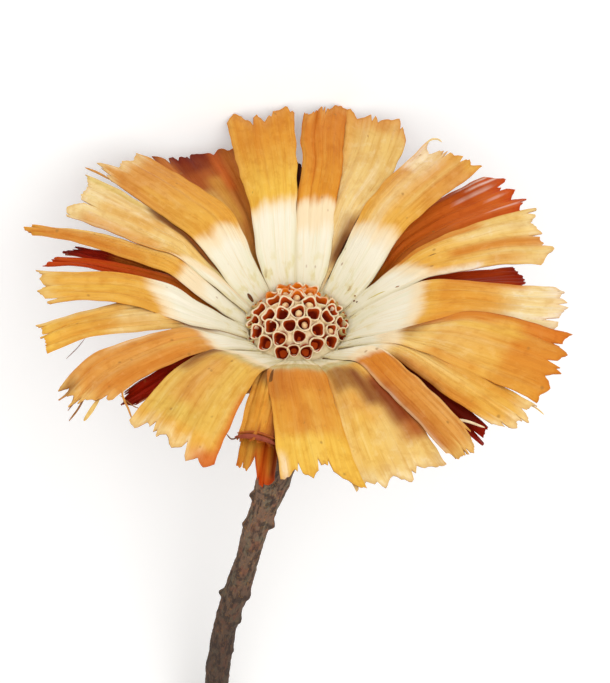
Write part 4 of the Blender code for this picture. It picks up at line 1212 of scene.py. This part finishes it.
class PROTEA_OT_disc(bpy.types.Operator):
    """Make the dome of the disc, its floret cups and the nuts left in them"""
    bl_idname = "protea.disc"
    bl_label = "Floret disc"

    def execute(self, context):
        colours = context.scene.protea_colours
        skin = floret_finish("floret_skin", colours, colours.lip)
        rim_skin = floret_finish("rim_floret_skin", colours, colours.moss_cream)
        nut_skin = nut_finish("nut_skin", colours.nut, colours.ember)
        bud_skin = nut_finish("bud_skin", colours.glow, colours.flame)
        spots = floret_spots()
        points, faces, depths = disc_dome(spots)
        finish_piece(new_piece("disc_dome", points, faces, {"depth": depths}), skin, "floret_disc")

        lift = context.scene.protea_sizes.cup_height / MM - CUP_HEIGHT
        cup = turned_points([(r, h + lift * (h > 0.0)) for r, h in CUP], CUP_SIDES, 0.09, 0.26)
        cup_marks = {"depth": ring_values(CUP, CUP_DEPTHS, CUP_SIDES)}
        nut = turned_points(NUT, NUT_SIDES)
        draw = random.Random(SEED + 1)
        cups = [(place, (turn @ spun(draw.uniform(-0.5, 0.5) - math.pi / 2.0)).to_euler(),
                 (size, size, 1.0)) for place, turn, size in spots]
        nuts = [(place + turn @ Vector((draw.uniform(-0.2, 0.2), -0.2, -0.1)), turn.to_euler(),
                 (size * draw.uniform(0.8, 0.95), size * draw.uniform(0.95, 1.1), size))
                for place, turn, size in (spots[number] for number in NUT_SOCKETS)]
        buds = [(Vector((x, y, dome_height(math.hypot(x, y)) + 0.4)), (0.0, 0.0, 0.0), (size, size, size))
                for x, y, size in BUDS]
        for name, shape, marks, places, finish, unevenness, seed in (
                ("floret_cups", cup, cup_marks, cups, skin, 0.05, SEED),
                ("rim_cups", cup, cup_marks, rim_spots(), rim_skin, 0.1, SEED + 2),
                ("nuts", nut, {}, nuts, nut_skin, 0.12, SEED + 3),
                ("buds", nut, {}, buds, bud_skin, 0.2, SEED + 4)):
            part = new_piece("part", *shape, marks, UNPLACED)
            scattered(name, part, places, finish, "floret_disc", unevenness, seed)
        return {"FINISHED"}


# Stem

def stem_line(depth):
    """Point, direction and radius of the stem at a depth under the face."""
    sideways, depths, radii = zip(*STEM_PATH)
    before, here, after = [through(depths, sideways, depth + step) for step in (-1.0, 0.0, 1.0)]
    return (Vector((here, 0.0, -depth)), Vector((after - before, 0.0, -2.0)).normalized(),
            through(depths, radii, depth))


def bark_height(degrees, depth, radius, furrow):
    """Height of the bark over the wood, with its furrows, lumps, scars and buds, and how scarred it is."""
    x, y, _ = around(radius, degrees, depth)
    height = furrow * (1.2 * rough(x * 1.5, y * 1.5, depth * 0.22)
                       + 0.8 * rough(x * 3.0, y * 3.0, depth * 0.9))
    height += 0.14 * rough(x * 0.45, y * 0.45, depth * 0.33)
    scar = 0.0
    for down, angle, size, tall in STEM_KNOBS:
        turn = math.radians((degrees - angle + 180.0) % 360.0 - 180.0) * radius
        away = math.hypot(turn, (depth - down) * 0.8) / (size * 0.6)
        if away < 2.0:
            height += tall * 0.95 * math.exp(-away * away * 1.6)
            scar = max(scar, math.exp(-(away * 1.7) ** 2))
    return height, scar


class PROTEA_OT_stem(bpy.types.Operator):
    """Make the stem with its bark, scars, buds and cut end"""
    bl_idname = "protea.stem"
    bl_label = "Stem"

    def execute(self, context):
        furrow = context.scene.protea_sizes.bark_depth / MM
        points, places, scars, loops = [], [], [], []
        top, bottom = STEM_PATH[0][1], STEM_PATH[-1][1]
        for k in range(STEM_RINGS):
            depth = top + (bottom - top) * k / (STEM_RINGS - 1.0)
            centre, along, radius = stem_line(depth)
            first = along.cross(Vector((0.0, 1.0, 0.0))).normalized()
            second = along.cross(first)
            reach = min(radius, BARK_REACH)
            loops.append(range(len(points), len(points) + STEM_SIDES))
            for side in range(STEM_SIDES):
                degrees = 360.0 * side / STEM_SIDES
                swell, scar = bark_height(degrees, depth, reach, furrow)
                turn = math.radians(degrees)
                out = -first * math.cos(turn) - second * math.sin(turn)
                points.append(centre + out * (radius + swell))
                places.append(around(reach, degrees, depth))
                scars.append(scar)
        for depth, bulge in ((top, 0.0), (bottom, 0.3)):
            centre, along, _ = stem_line(depth)
            points.append(centre + along * bulge)
            places.append((0.0, 0.0, depth))
            scars.append(0.0)
        loops = [[len(points) - 2] * STEM_SIDES, *loops, [len(points) - 1] * STEM_SIDES]
        piece = new_piece("bark", points, loop_faces(loops), {"place": places, "scar": scars})
        finish_piece(piece, bark_finish(context.scene.protea_colours), "stem")
        return {"FINISHED"}


# Scales

def scale_part():
    """One dry scale along +X: 1 long, 1 wide on each side, cupped, with a pointed tip."""
    rows, columns = 15, 11
    outline = ((0.0, 0.2, 0.45, 0.7, 0.88, 1.0), (0.78, 0.92, 1.0, 0.72, 0.38, 0.05))
    points, places, rims = [], [], []
    for side in (0.5, -0.5):
        for row in range(rows):
            out = row / (rows - 1.0)
            half = through(*outline, out)
            for column in range(columns):
                share = 2.0 * column / (columns - 1.0) - 1.0
                cup = -0.5 * share * share + 0.5 * out * out + side * 0.55 * (1.0 - 0.6 * out)
                points.append(Vector((out, share * half, cup)))
                places.append((share * half * 3.6, out * 14.0, 0.0))
                rims.append(smooth((abs(share) - 0.6) / 0.4))
    return new_piece("scale", points, sheet_faces(rows, columns), {"place": places, "rim": rims}, UNPLACED)


class PROTEA_OT_scales(bpy.types.Operator):
    """Make the dry scales under the head and at the top of the stem"""
    bl_idname = "protea.scales"
    bl_label = "Scales"

    def execute(self, context):
        finish = scale_finish(context.scene.protea_colours)
        draw = random.Random(SEED)
        spots = []
        for number in range(SCALE_COUNT):
            middle = 360.0 * (number + 0.3 * draw.random()) / SCALE_COUNT
            if SCALE_GAP[0] < middle < SCALE_GAP[1]:
                continue
            reach = draw.uniform(*SCALE_LENGTH)
            turn = (0.0, -math.radians(draw.uniform(*SCALE_SLOPE)), math.radians(middle))
            place = around(SCALE_ROOT[0] - 1.0, middle, SCALE_ROOT[1] - 0.3)
            spots.append((place, turn, (reach + 1.0, 3.9, 1.0)))
        scattered("back_scales", scale_part(), spots, finish, "outer_bracts", 0.02, SEED)

        draw = random.Random(SEED + 3)
        spots = []
        for height, radius, count, reach, degrees in STEM_SCALES:
            for number in range(count):
                middle = 360.0 * (number + 0.4 * draw.random()) / count
                long = reach * draw.uniform(0.85, 1.1)
                turn = (0.0, -math.radians(degrees), math.radians(middle))
                place = around(radius - 1.2, middle, height - 0.6)
                spots.append((place, turn, (long + 1.4, 2.6, 0.9)))
        scattered("stem_scales", scale_part(), spots, finish, "stem", 0.02, SEED + 4)
        return {"FINISHED"}


# Stage

def aimed(direction, distance):
    """The matrix of a light that shines on the flower from a direction in the flower's own frame."""
    place = POSE @ (direction.normalized() * distance)
    back = (place - POSE.translation).normalized()
    return Matrix.Translation(place) @ back.to_track_quat("Z", "Y").to_matrix().to_4x4()


class PROTEA_OT_stage(bpy.types.Operator):
    """Make the floor, the soft studio light and the camera at the photograph's angle"""
    bl_idname = "protea.stage"
    bl_label = "Stage"

    def execute(self, context):
        scene = context.scene
        stage, tone = scene.protea_stage, tuple(scene.protea_colours.floor)
        half = stage.floor_size / 2.0
        mesh = bpy.data.meshes.new("floor")
        mesh.from_pydata([(-half, -half, 0.0), (half, -half, 0.0), (half, half, 0.0), (-half, half, 0.0)],
                         [], [(0, 1, 2, 3)])
        mesh.materials.append(material_kit("floor").finish(
            Base_Color=tone, Roughness=0.9, Emission_Color=tone, Emission_Strength=stage.floor_glow))
        put("floor", mesh)

        face = Vector((0.0, -math.cos(CAMERA_STEEPNESS), math.sin(CAMERA_STEEPNESS)))
        above = Vector((0.0, math.sin(CAMERA_STEEPNESS), math.cos(CAMERA_STEEPNESS)))
        right = Vector((1.0, 0.0, 0.0))

        # The key stands over the camera, the fill to its right and lower, the top lamp over the floor.
        for name, place, size, power in (
                ("key", aimed(face * 0.9 + above * 0.24 + right * 0.06, 0.9), 0.8, stage.key_power),
                ("fill", aimed(face + right * 0.4 - above * 0.3, 1.0), 0.9, stage.fill_power),
                ("top", Matrix.Translation((0.0, 0.0, 1.3)), 2.2, stage.top_power)):
            lamp = bpy.data.lights.new(name, "AREA")
            lamp.energy, lamp.size = power, size
            put(name, lamp).matrix_world = place

        world = bpy.data.worlds.new("room")
        world.use_nodes = True
        back = world.node_tree.nodes["Background"]
        back.inputs["Color"].default_value = (1.0, 1.0, 1.0, 1.0)
        back.inputs["Strength"].default_value = stage.sky
        scene.world = world
        scene.view_settings.view_transform = "Standard"

        lens = bpy.data.cameras.new("photo_camera")
        lens.lens, lens.sensor_width, lens.sensor_height = CAMERA_LENS, 36.0, 36.0
        lens.sensor_fit = "VERTICAL"
        lens.shift_x, lens.shift_y = CAMERA_SHIFT
        camera = put("photo_camera", lens)
        turn = Matrix((right, above, face)).transposed().to_4x4()
        camera.matrix_world = POSE @ Matrix.Translation(face * CAMERA_DISTANCE) @ turn
        scene.camera = camera
        return {"FINISHED"}


# Sidebar, registration and the run

class PROTEA_PT_sidebar(bpy.types.Panel):
    """Buttons for every piece, and the colours and sizes they read"""
    bl_label = "Dried protea"
    bl_idname = "PROTEA_PT_sidebar"
    bl_space_type = "VIEW_3D"
    bl_region_type = "UI"
    bl_category = "Protea"

    def draw(self, context):
        column = self.layout.column()
        for operator in OPERATORS:
            column.operator(operator.bl_idname)
        for name, group in GROUPS.items():
            for setting in group.__annotations__:
                column.prop(getattr(context.scene, name), setting)


OPERATORS = (PROTEA_OT_front_bracts, PROTEA_OT_outer_bracts, PROTEA_OT_threads, PROTEA_OT_disc,
             PROTEA_OT_stem, PROTEA_OT_scales, PROTEA_OT_stage)
GROUPS = {"protea_sizes": ProteaSizes, "protea_stage": ProteaStage, "protea_colours": ProteaColours}


def register():
    for item in (*GROUPS.values(), *OPERATORS, PROTEA_PT_sidebar):
        bpy.utils.register_class(item)
    for name, group in GROUPS.items():
        setattr(bpy.types.Scene, name, bpy.props.PointerProperty(type=group))


def unregister():
    for name in GROUPS:
        delattr(bpy.types.Scene, name)
    for item in reversed((*GROUPS.values(), *OPERATORS, PROTEA_PT_sidebar)):
        bpy.utils.unregister_class(item)


def main():
    register()
    for operator in OPERATORS:
        group, name = operator.bl_idname.split(".")
        getattr(getattr(bpy.ops, group), name)()


if __name__ == "__main__":
    main()
